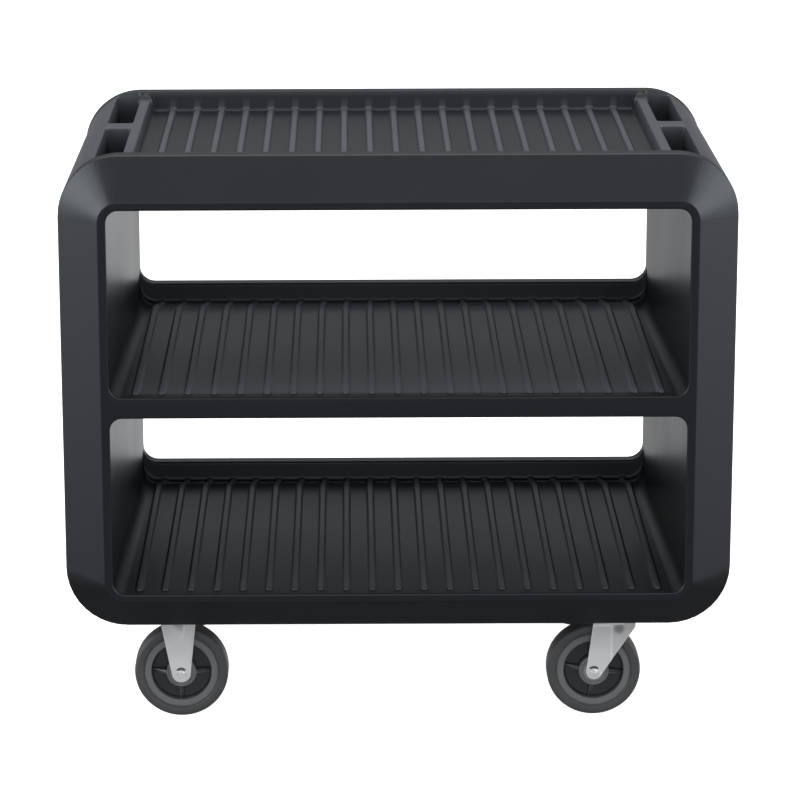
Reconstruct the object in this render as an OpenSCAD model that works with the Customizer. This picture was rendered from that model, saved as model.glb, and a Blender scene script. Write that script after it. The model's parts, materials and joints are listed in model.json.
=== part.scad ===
// Rolling utility cart: one hollow moulded body with a top tray and two
// open shelves, on two rigid and two swivel casters.
// +X is the long axis (swivel casters at +X), -Y is the open front,
// +Z is up, and the wheels stand on Z = 0.

/* [Body] */
// Overall length of the body
body_length = 1060; // [900:10:1300]
// Overall depth of the body, front to back
body_depth = 672; // [560:4:860]
// Height of the moulded body alone
body_height = 764; // [700:2:920]
// Thickness of the moulded wall
wall = 5; // [4:0.5:7]
// Radius of the body's outer corners
corner_radius = 97; // [80:1:110]

/* [Front frame] */
// Depth of the sloping band around the front
bevel_depth = 50; // [30:1:70]
// Width of the sloping band at the two sides
bevel_side = 65; // [50:1:70]
// Width of the sloping band above the openings
bevel_top = 65; // [50:1:70]
// Width of the sloping band below the openings
bevel_bottom = 54; // [40:1:64]
// Width of the flat strip around the openings
strip = 13; // [8:1:20]

/* [Shelves] */
// Height of the middle shelf floor above the body's underside
middle_floor = 389; // [340:1:460]
// Thickness of the middle shelf
middle_thickness = 34; // [28:1:50]
// Height of the lip along the back of each shelf
lip_height = 39; // [25:1:50]
// Thickness of the back lip
lip_thickness = 20; // [16:1:24]
// How much each side wall of a bay leans in over its depth
bay_draft = 12; // [0:1:16]
// Distance between shelf ribs
shelf_rib_pitch = 41.2; // [28:0.1:60]

/* [Top tray] */
// Depth of the tray below the rim
tray_drop = 34; // [20:1:40]
// Thickness of the rim in front of and behind the tray
tray_rim = 30; // [24:1:40]
// Distance between tray ribs
tray_rib_pitch = 41.9; // [28:0.1:60]

/* [Ribs] */
// Width of a rib at the floor
rib_base = 14; // [8:0.5:18]
// Width of a rib at its top
rib_top = 8; // [4:0.5:12]
// Height of a rib
rib_height = 4; // [2:0.5:6]

/* [Handles] */
// Width of the end handle, from the body's end to the hand pockets
handle_width = 58; // [50:1:64]
// Drop of the end bars below the rim
bar_drop = 9; // [4:1:14]
// Width of the bar between the tray and the pockets
bar_width = 17; // [12:1:24]
// Width of the hand pockets
pocket_width = 41; // [35:1:46]
// Depth of the hand pockets below the bars
pocket_depth = 48; // [30:1:50]
// Width of the divider between two pockets
divider = 46; // [30:1:70]
// Length of the boss that joins each bar to the back rim
boss_length = 32; // [16:1:48]

/* [Casters] */
// Outside diameter of the wheels
wheel_diameter = 152.4; // [125:0.1:155]
// Height that the caster's plate and head add above the wheel
caster_head = 25.6; // [25.5:0.1:40]
// Width of the tyre
tyre_width = 40; // [32:1:44]
// Thickness of the tyre from tread to rim
tyre_thickness = 16.2; // [8:0.1:20]
// Distance from the body's end to a caster's centre
caster_end_inset = 178; // [150:1:240]
// Distance from the body's front to a front caster's centre
caster_front_inset = 136; // [120:1:170]
// Distance from the body's back to a rear caster's centre
caster_back_inset = 76; // [64:1:120]
// Distance from the swivel axis back to the axle
swivel_trail = 33; // [25:1:40]
// Clear gap between the fork legs
fork_gap = 52; // [50:1:60]
// Thickness of the fork's sheet steel
fork_sheet = 3; // [2:0.5:4]
// Diameter of the axle bolts
axle_diameter = 8; // [8:0.5:12]
// Diameter of the caster fixing bolts
bolt_diameter = 8; // [6:1:10]
// Diameter of the swivel kingpins
kingpin_diameter = 16; // [12:0.1:20]
// Diameter of the swivel bearing balls
ball_diameter = 7.6; // [6:0.1:8]
// Number of balls in a swivel bearing
ball_count = 16; // [10:1:18]

/* [Fits] */
// Radial clearance between a turning part and its pin
running_clearance = 0.06; // [0.02:0.01:0.1]
// Radial clearance between a fixed part and its hole
seat_clearance = 0.05; // [0.02:0.01:0.2]

/* [Hidden] */

$fn = 64;
hull_facets = 32;
skin = 0.01;

// Body levels, measured up from the floor
underside_height = wheel_diameter + caster_head;
front_y = -body_depth / 2;
back_y = body_depth / 2;
body_top = underside_height + body_height;
strip_length = body_length - 2 * bevel_side;
strip_radius = corner_radius - bevel_side;
opening_length = strip_length - 2 * strip;
opening_radius = max(strip_radius - strip, 8);
lower_floor = underside_height + bevel_bottom + strip;
upper_floor = underside_height + middle_floor;
lower_ceiling = upper_floor - middle_thickness;
upper_ceiling = body_top - bevel_top - strip;
bay_floors = [lower_floor, upper_floor];
bay_ceilings = [lower_ceiling, upper_ceiling];

// The back of a bay: a lip below and a narrower opening above it
back_edge = 7;
lip_y = back_y - lip_thickness - back_edge;
back_opening_length = opening_length - 2 * bay_draft;
back_opening_radius = opening_radius + 7;
rib_inset = 20;
shelf_rib_room = back_opening_length / 2 - opening_radius - rib_base / 2;
shelf_ribs = 2 * floor(shelf_rib_room / shelf_rib_pitch) + 1;
shelf_rib_end = lip_y - 3;

// Tray and hand pockets
pocket_outer = body_length / 2 - handle_width;
pocket_inner = pocket_outer - pocket_width;
tray_length = 2 * (pocket_inner - bar_width);
tray_front = front_y + bevel_depth + tray_rim;
tray_back = back_y - tray_rim;
tray_floor = body_top - tray_drop;
tray_radius = 12;
tray_rib_room = tray_length / 2 - tray_radius - rib_base / 2;
tray_ribs = 2 * floor(tray_rib_room / tray_rib_pitch) + 1;
bar_level = body_top - bar_drop;
pocket_floor = bar_level - pocket_depth;
pocket_front = tray_front + 10;
pocket_back = tray_back;
pocket_radius = 6;
pocket_middle = (pocket_front + pocket_back) / 2;
boss_inner = tray_length / 2 - 4;
boss_outer = pocket_inner + 4;
boss_top = body_top - 2;

// Caster mounting
caster_x = body_length / 2 - caster_end_inset;
caster_front_y = front_y + caster_front_inset;
caster_rear_y = back_y - caster_back_inset;
plate_length = 114;
plate_width = 102;
plate_thickness = 4;
plate_radius = 8;
plate_top = underside_height;
plate_bottom = plate_top - plate_thickness;
bolt_spacing_x = 92;
bolt_spacing_y = 67;
bolt_hole_clearance = 0.5;
pad_margin = 6;
pad_thickness = 25;
pad_top = plate_top + pad_thickness;
insert_radius = 6.5;
insert_length = 18;
insert_relief = 0.5;
washer_thickness = 1.6;
washer_radius = bolt_diameter;
bolt_head_height = 5.3;
bolt_head_radius = 7.5;
bolt_length = plate_thickness + washer_thickness + insert_length - 2;
vent_radius = 6;
vent_flange_radius = 10;
vent_flange = 1.5;

// Wheel and axle
wheel_radius = wheel_diameter / 2;
axle_height = wheel_radius;
rim_outer = wheel_radius - tyre_thickness;
rim_band = 11;
rim_inner = rim_outer - rim_band;
hub_radius = 24;
web_thickness = 6;
spoke_thickness = 4;
rim_width = tyre_width - 4;
hub_length = fork_gap - 6;
tyre_corner = 7;
sleeve_wall = 3;
sleeve_radius = axle_diameter / 2 + sleeve_wall;
bush_wall = 4;
bush_outer = sleeve_radius + bush_wall;
bush_length = 16;
bush_flange = 1.5;
bush_flange_radius = 16;
axle_head_height = 6.4;
axle_head_radius = axle_diameter * 0.92;
axle_nut_height = 8;
fork_half = fork_gap / 2;
fork_outer = fork_half + fork_sheet;

// Fork legs
rigid_leg_left = 34.5;
rigid_leg_right = 25.6;
rigid_leg_end = 15.3;
swivel_leg_left = 34.8;
swivel_leg_right = 38.5;
swivel_leg_end = 12.5;
leg_overlap = 0.1;

// Swivel head
race_outer = 31;
race_inner = 19;
ball_circle = 25;
ball_radius = ball_diameter / 2;
race_ring_height = 6;
crown_thickness = 4;
race_gap = 0.4;
crown_top = plate_bottom - race_ring_height - ball_diameter - race_gap;
crown_bottom = crown_top - crown_thickness;
crown_radius = 6;
kingpin_nut_height = 4.5;
kingpin_end = 0.4;
kingpin_nut_radius = kingpin_diameter * 0.9;
nut_gap = 0.3;
kingpin_bottom = crown_bottom - nut_gap - kingpin_nut_height - kingpin_end;

// A rectangle with round corners, centred on the origin
module rounded_rect(length, width, radius) {
    square([length - 2 * radius, width], center = true);
    square([length, width - 2 * radius], center = true);
    for (sx = [-1, 1], sz = [-1, 1])
        translate([sx * (length / 2 - radius), sz * (width / 2 - radius)])
            circle(radius);
}

// The same rectangle standing in the XZ plane between two heights, extruded from y0 to y1
module upright(length, z0, z1, radius, y0, y1) {
    translate([0, y1, (z0 + z1) / 2])
        rotate([90, 0, 0])
            linear_extrude(y1 - y0)
                rounded_rect(length, z1 - z0, radius);
}

// A thin slice of an upright block, for blending two outlines
module slice(length, z0, z1, radius, y) {
    upright(length, z0, z1, radius, y, y + skin, $fn = hull_facets);
}

// A block with round upright edges
module block(x0, x1, y0, y1, z0, z1, radius) {
    translate([(x0 + x1) / 2, (y0 + y1) / 2, z0])
        linear_extrude(z1 - z0)
            rounded_rect(x1 - x0, y1 - y0, radius);
}

// The outside of the body, drawn inward by a margin
module outer_form(margin) {
    upright(body_length - 2 * margin, underside_height + margin, body_top - margin,
        corner_radius - margin, front_y + bevel_depth, back_y - margin);
    hull() {
        slice(body_length - 2 * margin, underside_height + margin, body_top - margin,
            corner_radius - margin, front_y + bevel_depth);
        slice(strip_length - 2 * margin, underside_height + bevel_bottom + margin,
            body_top - bevel_top - margin, strip_radius - margin / 2, front_y + margin);
    }
}

// One open bay, drawn outward by a margin
module bay_form(floor_z, ceiling_z, margin) {
    hull() {
        slice(opening_length + 2 * margin, floor_z - margin, ceiling_z + margin,
            opening_radius + margin, front_y - 1);
        slice(back_opening_length + 2 * margin, floor_z - margin, ceiling_z + margin,
            opening_radius + margin, lip_y + margin);
    }
    upright(back_opening_length + 2 * margin, floor_z + lip_height - margin, ceiling_z + margin,
        back_opening_radius + margin, lip_y - 1, back_y + 1);
}

// The tray, the lowered decks beside it and the hand pockets, drawn outward by a margin
module top_form(margin) {
    deck_outer = pocket_outer + 30;
    block(-tray_length / 2 - margin, tray_length / 2 + margin, tray_front - margin,
        tray_back + margin, tray_floor - margin, body_top + 1, tray_radius + margin);
    for (side = [-1, 1]) {
        x_in = tray_length / 2 - 1;
        translate([side > 0 ? x_in : -deck_outer, tray_front - margin, bar_level - margin])
            cube([deck_outer - x_in, tray_back - tray_front + 2 * margin, bar_drop + margin + 1]);
        translate([side * (pocket_inner + pocket_outer) / 2, 0, 0])
            for (span = [[pocket_front, pocket_middle - divider / 2],
                         [pocket_middle + divider / 2, pocket_back]])
                block(-pocket_width / 2 - margin, pocket_width / 2 + margin,
                    span[0] - margin, span[1] + margin,
                    pocket_floor - margin, body_top + 1, pocket_radius + margin);
    }
}

// The bosses that join the two end bars to the back rim
module bar_bosses() {
    boss_floor = min(tray_floor, pocket_floor) - 1;
    boss_radius = (boss_outer - boss_inner) / 2;
    for (side = [-1, 1])
        translate([side * (boss_inner + boss_outer) / 2, 0, 0]) {
            translate([-boss_radius, tray_back - boss_length, boss_floor])
                cube([2 * boss_radius, boss_length + 1, boss_top - boss_radius - boss_floor]);
            translate([0, tray_back + 1, boss_top - boss_radius])
                rotate([90, 0, 0])
                    cylinder(r = boss_radius, h = boss_length + 1);
        }
}

// One rib running front to back, with its underside sunk into the floor below it
module rib(y0, y1, floor_z) {
    sunk = 1;
    translate([0, y1, floor_z])
        rotate([90, 0, 0])
            linear_extrude(y1 - y0)
                polygon([
                    [-rib_base / 2, -sunk],
                    [rib_base / 2, -sunk],
                    [rib_base / 2, 0],
                    [rib_top / 2, rib_height],
                    [-rib_top / 2, rib_height],
                    [-rib_base / 2, 0]
                ]);
}

// A row of ribs centred on the body
module rib_row(count, pitch, y0, y1, floor_z) {
    for (i = [0 : count - 1])
        translate([(i - (count - 1) / 2) * pitch, 0, 0])
            rib(y0, y1, floor_z);
}

// Places children at each caster centre
module at_casters() {
    for (x = [-caster_x, caster_x], y = [caster_front_y, caster_rear_y])
        translate([x, y, 0])
            children();
}

// Places children at each fixing bolt of every caster
module at_bolts() {
    at_casters()
        at_plate_bolts()
            children();
}

// Places children at the four bolt holes of one mounting plate
module at_plate_bolts() {
    for (sx = [-1, 1], sy = [-1, 1])
        translate([sx * bolt_spacing_x / 2, sy * bolt_spacing_y / 2, 0])
            children();
}

// The closed air space inside the moulded walls
module air_space() {
    difference() {
        outer_form(wall);
        for (i = [0, 1])
            bay_form(bay_floors[i], bay_ceilings[i], wall);
        top_form(wall);
        at_casters()
            block(-plate_length / 2 - pad_margin, plate_length / 2 + pad_margin,
                -plate_width / 2 - pad_margin, plate_width / 2 + pad_margin,
                underside_height, pad_top, plate_radius);
    }
}

module cart_body() {
    color("#3a3b3f")
        difference() {
            union() {
                difference() {
                    outer_form(0);
                    for (i = [0, 1])
                        bay_form(bay_floors[i], bay_ceilings[i], 0);
                    top_form(0);
                }
                for (i = [0, 1])
                    rib_row(shelf_ribs, shelf_rib_pitch, front_y + rib_inset,
                        shelf_rib_end, bay_floors[i]);
                rib_row(tray_ribs, tray_rib_pitch, tray_front - 1, tray_back + 1, tray_floor);
                bar_bosses();
            }
            air_space();
            at_bolts()
                translate([0, 0, plate_top - 1])
                    cylinder(r = insert_radius + seat_clearance, h = insert_length + 1 + insert_relief);
            translate([0, 0, underside_height - 1])
                cylinder(r = vent_radius, h = wall + 2);
        }
}

module vent_plug() {
    color("#1c1d20")
        translate([0, 0, underside_height - vent_flange]) {
            cylinder(r = vent_flange_radius, h = vent_flange);
            cylinder(r = vent_radius - seat_clearance, h = vent_flange + wall + 2);
        }
}

module caster_inserts() {
    color("goldenrod")
        at_bolts()
            translate([0, 0, plate_top])
                difference() {
                    cylinder(r = insert_radius, h = insert_length);
                    translate([0, 0, -1])
                        cylinder(r = bolt_diameter / 2 + seat_clearance, h = insert_length + 2);
                }
}

module caster_bolts() {
    color("silver")
        at_bolts()
            translate([0, 0, plate_bottom - washer_thickness - bolt_head_height]) {
                cylinder(r = bolt_head_radius, h = bolt_head_height, $fn = 6);
                cylinder(r = bolt_diameter / 2, h = bolt_head_height + bolt_length);
            }
}

module caster_washers() {
    color("gainsboro")
        at_bolts()
            translate([0, 0, plate_bottom - washer_thickness])
                difference() {
                    cylinder(r = washer_radius, h = washer_thickness);
                    translate([0, 0, -1])
                        cylinder(r = bolt_diameter / 2 + seat_clearance, h = washer_thickness + 2);
                }
}

// The flat mounting plate of a caster, with its four bolt holes
module mounting_plate() {
    difference() {
        block(-plate_length / 2, plate_length / 2, -plate_width / 2, plate_width / 2,
            plate_bottom, plate_top, plate_radius);
        at_plate_bolts()
            translate([0, 0, plate_bottom - 1])
                cylinder(r = bolt_diameter / 2 + bolt_hole_clearance, h = plate_thickness + 2);
    }
}

// Where an edge from a top corner touches a circle about the axle; side 1 is the right edge
function tangent_point(top_x, top_z, end_x, end_radius, side) =
    let (dx = top_x - end_x, dz = top_z - axle_height)
    let (a = atan2(dz, dx) - side * acos(end_radius / norm([dx, dz])))
    [end_x + end_radius * cos(a), axle_height + end_radius * sin(a)];

// A fork leg: a tapered sheet with a round end about the axle
module leg_sheet(top_from, top_to, top_z, end_x, end_radius) {
    rotate([90, 0, 0])
        linear_extrude(fork_sheet, center = true) {
            polygon([
                [top_from, top_z],
                tangent_point(top_from, top_z, end_x, end_radius - leg_overlap, -1),
                [end_x, axle_height],
                tangent_point(top_to, top_z, end_x, end_radius - leg_overlap, 1),
                [top_to, top_z]
            ]);
            translate([end_x, axle_height])
                circle(end_radius);
        }
}

// Both legs of a fork, bored for the axle
module fork_legs(top_from, top_to, top_z, end_x, end_radius) {
    for (side = [-1, 1])
        translate([0, side * (fork_half + fork_sheet / 2), 0])
            difference() {
                leg_sheet(top_from, top_to, top_z, end_x, end_radius);
                translate([end_x, 0, axle_height])
                    rotate([90, 0, 0])
                        cylinder(r = axle_diameter / 2 + seat_clearance, h = fork_sheet + 2, center = true);
            }
}

module rigid_fork(y) {
    color("lightgray")
        translate([-caster_x, y, 0]) {
            mounting_plate();
            fork_legs(-rigid_leg_left, rigid_leg_right, plate_bottom + 1, 0, rigid_leg_end);
        }
}

module swivel_plate(y) {
    color("lightgray")
        translate([caster_x, y, 0])
            difference() {
                union() {
                    mounting_plate();
                    translate([0, 0, plate_bottom - race_ring_height])
                        difference() {
                            cylinder(r = race_outer, h = race_ring_height + 1);
                            translate([0, 0, -1])
                                cylinder(r = race_inner, h = race_ring_height + 1);
                        }
                }
                translate([0, 0, plate_bottom - 1])
                    cylinder(r = kingpin_diameter / 2 + seat_clearance, h = plate_thickness + 2);
            }
}

module swivel_fork(y) {
    color("silver")
        translate([caster_x, y, 0])
            difference() {
                union() {
                    block(-swivel_leg_left, swivel_leg_right, -fork_outer, fork_outer,
                        crown_bottom, crown_top, crown_radius);
                    translate([0, 0, crown_bottom])
                        cylinder(r = race_outer, h = crown_thickness);
                    fork_legs(-swivel_leg_left, swivel_leg_right, crown_top, -swivel_trail,
                        swivel_leg_end);
                }
                translate([0, 0, crown_bottom - 1])
                    cylinder(r = kingpin_diameter / 2 + running_clearance, h = crown_thickness + 2);
            }
}

module swivel_balls(y) {
    color("whitesmoke")
        translate([caster_x, y, crown_top + ball_radius + seat_clearance])
            for (i = [0 : ball_count - 1])
                rotate([0, 0, i * 360 / ball_count])
                    translate([ball_circle, 0, 0])
                        sphere(ball_radius);
}

module kingpin(y) {
    color("gray")
        translate([caster_x, y, kingpin_bottom])
            cylinder(r = kingpin_diameter / 2, h = plate_top - kingpin_bottom);
}

module kingpin_nut(y) {
    color("dimgray")
        translate([caster_x, y, crown_bottom - nut_gap - kingpin_nut_height])
            difference() {
                cylinder(r = kingpin_nut_radius, h = kingpin_nut_height, $fn = 6);
                translate([0, 0, -1])
                    cylinder(r = kingpin_diameter / 2 + seat_clearance, h = kingpin_nut_height + 2);
            }
}

// Places children with the axle along +Y at an axle's middle; facing 1 puts +Y at the back
module at_axle(x, y, facing) {
    translate([x, y, axle_height])
        rotate([-90 * facing, 0, 0])
            children();
}

module axle_bolt(x, y, facing) {
    color("silver")
        at_axle(x, y, facing)
            translate([0, 0, -fork_outer - axle_head_height]) {
                cylinder(r = axle_head_radius, h = axle_head_height, $fn = 6);
                cylinder(r = axle_diameter / 2, h = axle_head_height + 2 * fork_outer + axle_nut_height + 1);
            }
}

module axle_nut(x, y, facing) {
    color("gainsboro")
        at_axle(x, y, facing)
            translate([0, 0, fork_outer])
                difference() {
                    cylinder(r = axle_head_radius, h = axle_nut_height, $fn = 6);
                    translate([0, 0, -1])
                        cylinder(r = axle_diameter / 2 + seat_clearance, h = axle_nut_height + 2);
                }
}

module axle_sleeve(x, y) {
    color("darkgray")
        at_axle(x, y, 1)
            difference() {
                cylinder(r = sleeve_radius, h = fork_gap, center = true);
                cylinder(r = axle_diameter / 2 + seat_clearance, h = fork_gap + 2, center = true);
            }
}

module hub_bushes(x, y) {
    color("ivory")
        at_axle(x, y, 1)
            for (side = [0, 1])
                mirror([0, 0, side])
                    translate([0, 0, hub_length / 2 - bush_length])
                        difference() {
                            union() {
                                cylinder(r = bush_outer, h = bush_length);
                                translate([0, 0, bush_length])
                                    cylinder(r = bush_flange_radius, h = bush_flange);
                            }
                            translate([0, 0, -1])
                                cylinder(r = sleeve_radius + running_clearance,
                                    h = bush_length + bush_flange + 2);
                        }
}

module wheel_core(x, y) {
    color("#55575b")
        at_axle(x, y, 1)
            difference() {
                union() {
                    difference() {
                        cylinder(r = rim_outer, h = rim_width, center = true);
                        cylinder(r = rim_inner, h = rim_width + 2, center = true);
                    }
                    cylinder(r = rim_inner + 1, h = web_thickness, center = true);
                    cylinder(r = hub_radius, h = hub_length, center = true);
                    for (turn = [0, 90])
                        rotate([0, 0, turn])
                            cube([2 * rim_inner + 2, spoke_thickness, rim_width - 6], center = true);
                }
                cylinder(r = bush_outer + seat_clearance, h = hub_length + 2, center = true);
            }
}

// Points along an arc between two angles
function arc(cx, cz, r, a0, a1, steps) =
    [for (i = [0 : steps]) let (a = a0 + (a1 - a0) * i / steps) [cx + r * cos(a), cz + r * sin(a)]];

module tyre(x, y) {
    half = tyre_width / 2;
    centre_r = wheel_radius - tyre_corner;
    centre_z = half - tyre_corner;
    color("#2b2c2f")
        at_axle(x, y, 1)
            rotate_extrude()
                polygon(concat(
                    [[rim_outer, -half]],
                    arc(centre_r, -centre_z, tyre_corner, -90, 0, 6),
                    arc(centre_r, centre_z, tyre_corner, 0, 90, 6),
                    [[rim_outer, half]]
                ));
}

cart_body();
vent_plug();
caster_inserts();
caster_bolts();
caster_washers();
rigid_fork(caster_front_y);  // rigid_fork_front
rigid_fork(caster_rear_y);  // rigid_fork_rear
swivel_plate(caster_front_y);  // swivel_plate_front
swivel_plate(caster_rear_y);  // swivel_plate_rear
swivel_fork(caster_front_y);  // swivel_fork_front
swivel_fork(caster_rear_y);  // swivel_fork_rear
swivel_balls(caster_front_y);  // swivel_balls_front
swivel_balls(caster_rear_y);  // swivel_balls_rear
kingpin(caster_front_y);  // kingpin_front
kingpin(caster_rear_y);  // kingpin_rear
kingpin_nut(caster_front_y);  // kingpin_nut_front
kingpin_nut(caster_rear_y);  // kingpin_nut_rear
axle_bolt(-caster_x, caster_front_y, 1);  // axle_bolt_rigid_front
axle_bolt(-caster_x, caster_rear_y, -1);  // axle_bolt_rigid_rear
axle_bolt(caster_x - swivel_trail, caster_front_y, -1);  // axle_bolt_swivel_front
axle_bolt(caster_x - swivel_trail, caster_rear_y, 1);  // axle_bolt_swivel_rear
axle_nut(-caster_x, caster_front_y, 1);  // axle_nut_rigid_front
axle_nut(-caster_x, caster_rear_y, -1);  // axle_nut_rigid_rear
axle_nut(caster_x - swivel_trail, caster_front_y, -1);  // axle_nut_swivel_front
axle_nut(caster_x - swivel_trail, caster_rear_y, 1);  // axle_nut_swivel_rear
axle_sleeve(-caster_x, caster_front_y);  // axle_sleeve_rigid_front
axle_sleeve(-caster_x, caster_rear_y);  // axle_sleeve_rigid_rear
axle_sleeve(caster_x - swivel_trail, caster_front_y);  // axle_sleeve_swivel_front
axle_sleeve(caster_x - swivel_trail, caster_rear_y);  // axle_sleeve_swivel_rear
hub_bushes(-caster_x, caster_front_y);  // hub_bushes_rigid_front
hub_bushes(-caster_x, caster_rear_y);  // hub_bushes_rigid_rear
hub_bushes(caster_x - swivel_trail, caster_front_y);  // hub_bushes_swivel_front
hub_bushes(caster_x - swivel_trail, caster_rear_y);  // hub_bushes_swivel_rear
wheel_core(-caster_x, caster_front_y);  // wheel_core_rigid_front
wheel_core(-caster_x, caster_rear_y);  // wheel_core_rigid_rear
wheel_core(caster_x - swivel_trail, caster_front_y);  // wheel_core_swivel_front
wheel_core(caster_x - swivel_trail, caster_rear_y);  // wheel_core_swivel_rear
tyre(-caster_x, caster_front_y);  // tyre_rigid_front
tyre(-caster_x, caster_rear_y);  // tyre_rigid_rear
tyre(caster_x - swivel_trail, caster_front_y);  // tyre_swivel_front
tyre(caster_x - swivel_trail, caster_rear_y);  // tyre_swivel_rear
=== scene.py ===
import json
import math

import bmesh
import bpy
import numpy as np
from mathutils import Matrix, Vector
from mathutils.geometry import tessellate_polygon


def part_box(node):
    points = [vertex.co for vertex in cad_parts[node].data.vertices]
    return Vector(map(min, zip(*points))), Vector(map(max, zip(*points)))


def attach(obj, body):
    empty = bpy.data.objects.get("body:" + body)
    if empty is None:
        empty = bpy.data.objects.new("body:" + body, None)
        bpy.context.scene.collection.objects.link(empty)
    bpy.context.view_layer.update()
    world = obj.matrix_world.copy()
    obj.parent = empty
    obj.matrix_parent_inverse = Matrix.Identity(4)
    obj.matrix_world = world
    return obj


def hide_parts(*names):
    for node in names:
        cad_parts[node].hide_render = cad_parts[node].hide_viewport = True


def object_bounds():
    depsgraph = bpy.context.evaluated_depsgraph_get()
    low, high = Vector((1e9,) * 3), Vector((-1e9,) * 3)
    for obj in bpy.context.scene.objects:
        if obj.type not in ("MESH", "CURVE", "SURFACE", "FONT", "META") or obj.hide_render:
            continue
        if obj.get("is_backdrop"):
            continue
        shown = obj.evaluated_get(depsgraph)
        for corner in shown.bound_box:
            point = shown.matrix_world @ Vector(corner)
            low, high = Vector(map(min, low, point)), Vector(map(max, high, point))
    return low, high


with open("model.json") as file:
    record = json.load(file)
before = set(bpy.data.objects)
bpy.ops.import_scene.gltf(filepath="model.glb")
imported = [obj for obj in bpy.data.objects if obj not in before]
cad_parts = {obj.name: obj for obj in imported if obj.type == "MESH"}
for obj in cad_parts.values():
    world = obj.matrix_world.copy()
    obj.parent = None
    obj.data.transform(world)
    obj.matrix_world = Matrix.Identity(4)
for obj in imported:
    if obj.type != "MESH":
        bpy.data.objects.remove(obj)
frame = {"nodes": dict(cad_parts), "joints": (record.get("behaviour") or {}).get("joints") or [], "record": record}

bl_info = {
    "name": "Rolling utility cart",
    "version": (1, 0, 0),
    "blender": (4, 5, 0),
    "location": "3D View > Sidebar > Cart",
    "description": "Builds the moulded body, casters and studio of a rolling utility cart",
    "category": "Object",
}

CAD_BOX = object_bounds()
RECORD = frame["record"]
MOUNTS = {mount["name"]: mount["pos_m"] for mount in RECORD["mounts"]}
JOINTS = {joint["name"]: joint for joint in frame["joints"]}
BODY_LOW, BODY_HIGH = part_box("cart_body")
SLOTS = {part["node"]: part["material_slot"] for part in RECORD["subparts"]}
NODE_BODY = {node: body for body, nodes in RECORD["behaviour"]["bodies"].items() for node in nodes}
WHEELS = [(kind, end) for kind in ("rigid", "swivel") for end in ("front", "rear")]
ENDS = ("front", "rear")
MM = 0.001
FIT = 0.05 * MM
EDGE = 0.8 * MM


def length(name, description, default):
    """A length property in metres."""
    return bpy.props.FloatProperty(
        name=name, description=description, default=default, min=0.0, precision=4,
        subtype="DISTANCE", unit="LENGTH",
    )


def colour(name, description, default):
    """A linear colour property."""
    return bpy.props.FloatVectorProperty(
        name=name, description=description, default=default, size=3, min=0.0, max=1.0, subtype="COLOR",
    )


def number(name, description, default):
    """A plain number property."""
    return bpy.props.FloatProperty(name=name, description=description, default=default, precision=3)


class CartBodySizes(bpy.types.PropertyGroup):
    """Sizes of the moulded body."""

    corner_radius: length("Corner radius", "Radius of the body's four long corners", 0.097)
    bevel_depth: length("Bevel depth", "Depth of the sloping band round the front", 0.050)
    bevel_width: length("Bevel width", "Width of the sloping band at the top and sides", 0.065)
    bevel_base: length("Bevel base", "Width of the sloping band along the bottom", 0.054)
    bevel_edge: length("Bevel edge", "Radius of the edge between the band and the sides", 0.005)
    strip: length("Strip", "Width of the flat strip round the openings", 0.013)
    strip_edge: length("Strip edge", "Radius of the edge between the strip and the band", 0.003)
    waist: length("Waist", "How far the sides draw in before the back rim", 0.0028)
    back_edge: length("Back edge", "Radius of the edge round the back", 0.005)
    shelf_thickness: length("Shelf thickness", "Thickness of the middle shelf", 0.034)
    opening_radius: length("Opening radius", "Corner radius of the front openings", 0.019)
    opening_edge: length("Opening edge", "Radius of the front edge of the openings", 0.0025)
    bay_draft: length("Bay draft", "How much a side wall leans in from front to back", 0.012)
    lip_height: length("Lip height", "Height of the lip along the back of a shelf", 0.039)
    lip_thickness: length("Lip thickness", "Thickness of the back lip", 0.020)
    lip_setback: length("Lip setback", "From the lip's back to the body's back face", 0.007)
    lip_foot: length("Lip foot", "Radius where the shelf floor turns up into the lip", 0.011)
    lip_crest: length("Lip crest", "Radius along the top of the lip", 0.006)
    back_radius: length("Back opening radius", "Corner radius of the back openings", 0.026)
    rib_height: length("Rib height", "Height of the floor ribs", 0.004)
    rib_inset: length("Rib inset", "From the front face to the front end of the shelf ribs", 0.020)
    shelf_rib_pitch: length("Shelf rib pitch", "Distance between shelf ribs", 0.0412)
    tray_rib_pitch: length("Tray rib pitch", "Distance between tray ribs", 0.0419)
    tray_length: length("Tray length", "Length of the tray floor", 0.828)
    tray_drop: length("Tray drop", "Depth of the tray below the rim", 0.034)
    tray_rim: length("Tray rim", "Width of the rim in front of and behind the tray", 0.030)
    tray_radius: length("Tray radius", "Plan radius of the tray's front corners", 0.012)
    bar_drop: length("Bar drop", "Drop of the end bars below the rim", 0.009)
    bar_width: length("Bar width", "Width of the bar between tray and hand pockets", 0.017)
    pocket_width: length("Pocket width", "Width of the hand pockets", 0.041)
    pocket_depth: length("Pocket depth", "Depth of the hand pockets below the bars", 0.048)
    pocket_inset: length("Pocket inset", "From the tray's front wall to the front pockets", 0.010)
    pocket_radius: length("Pocket radius", "Plan radius of the pocket corners", 0.006)
    divider: length("Divider", "Width of the divider between two hand pockets", 0.046)
    boss_length: length("Boss length", "Length of the boss that joins a bar to the back rim", 0.032)
    boss_width: length("Boss width", "Width of that boss", 0.025)
    boss_drop: length("Boss drop", "Drop of the boss below the rim", 0.002)


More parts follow.
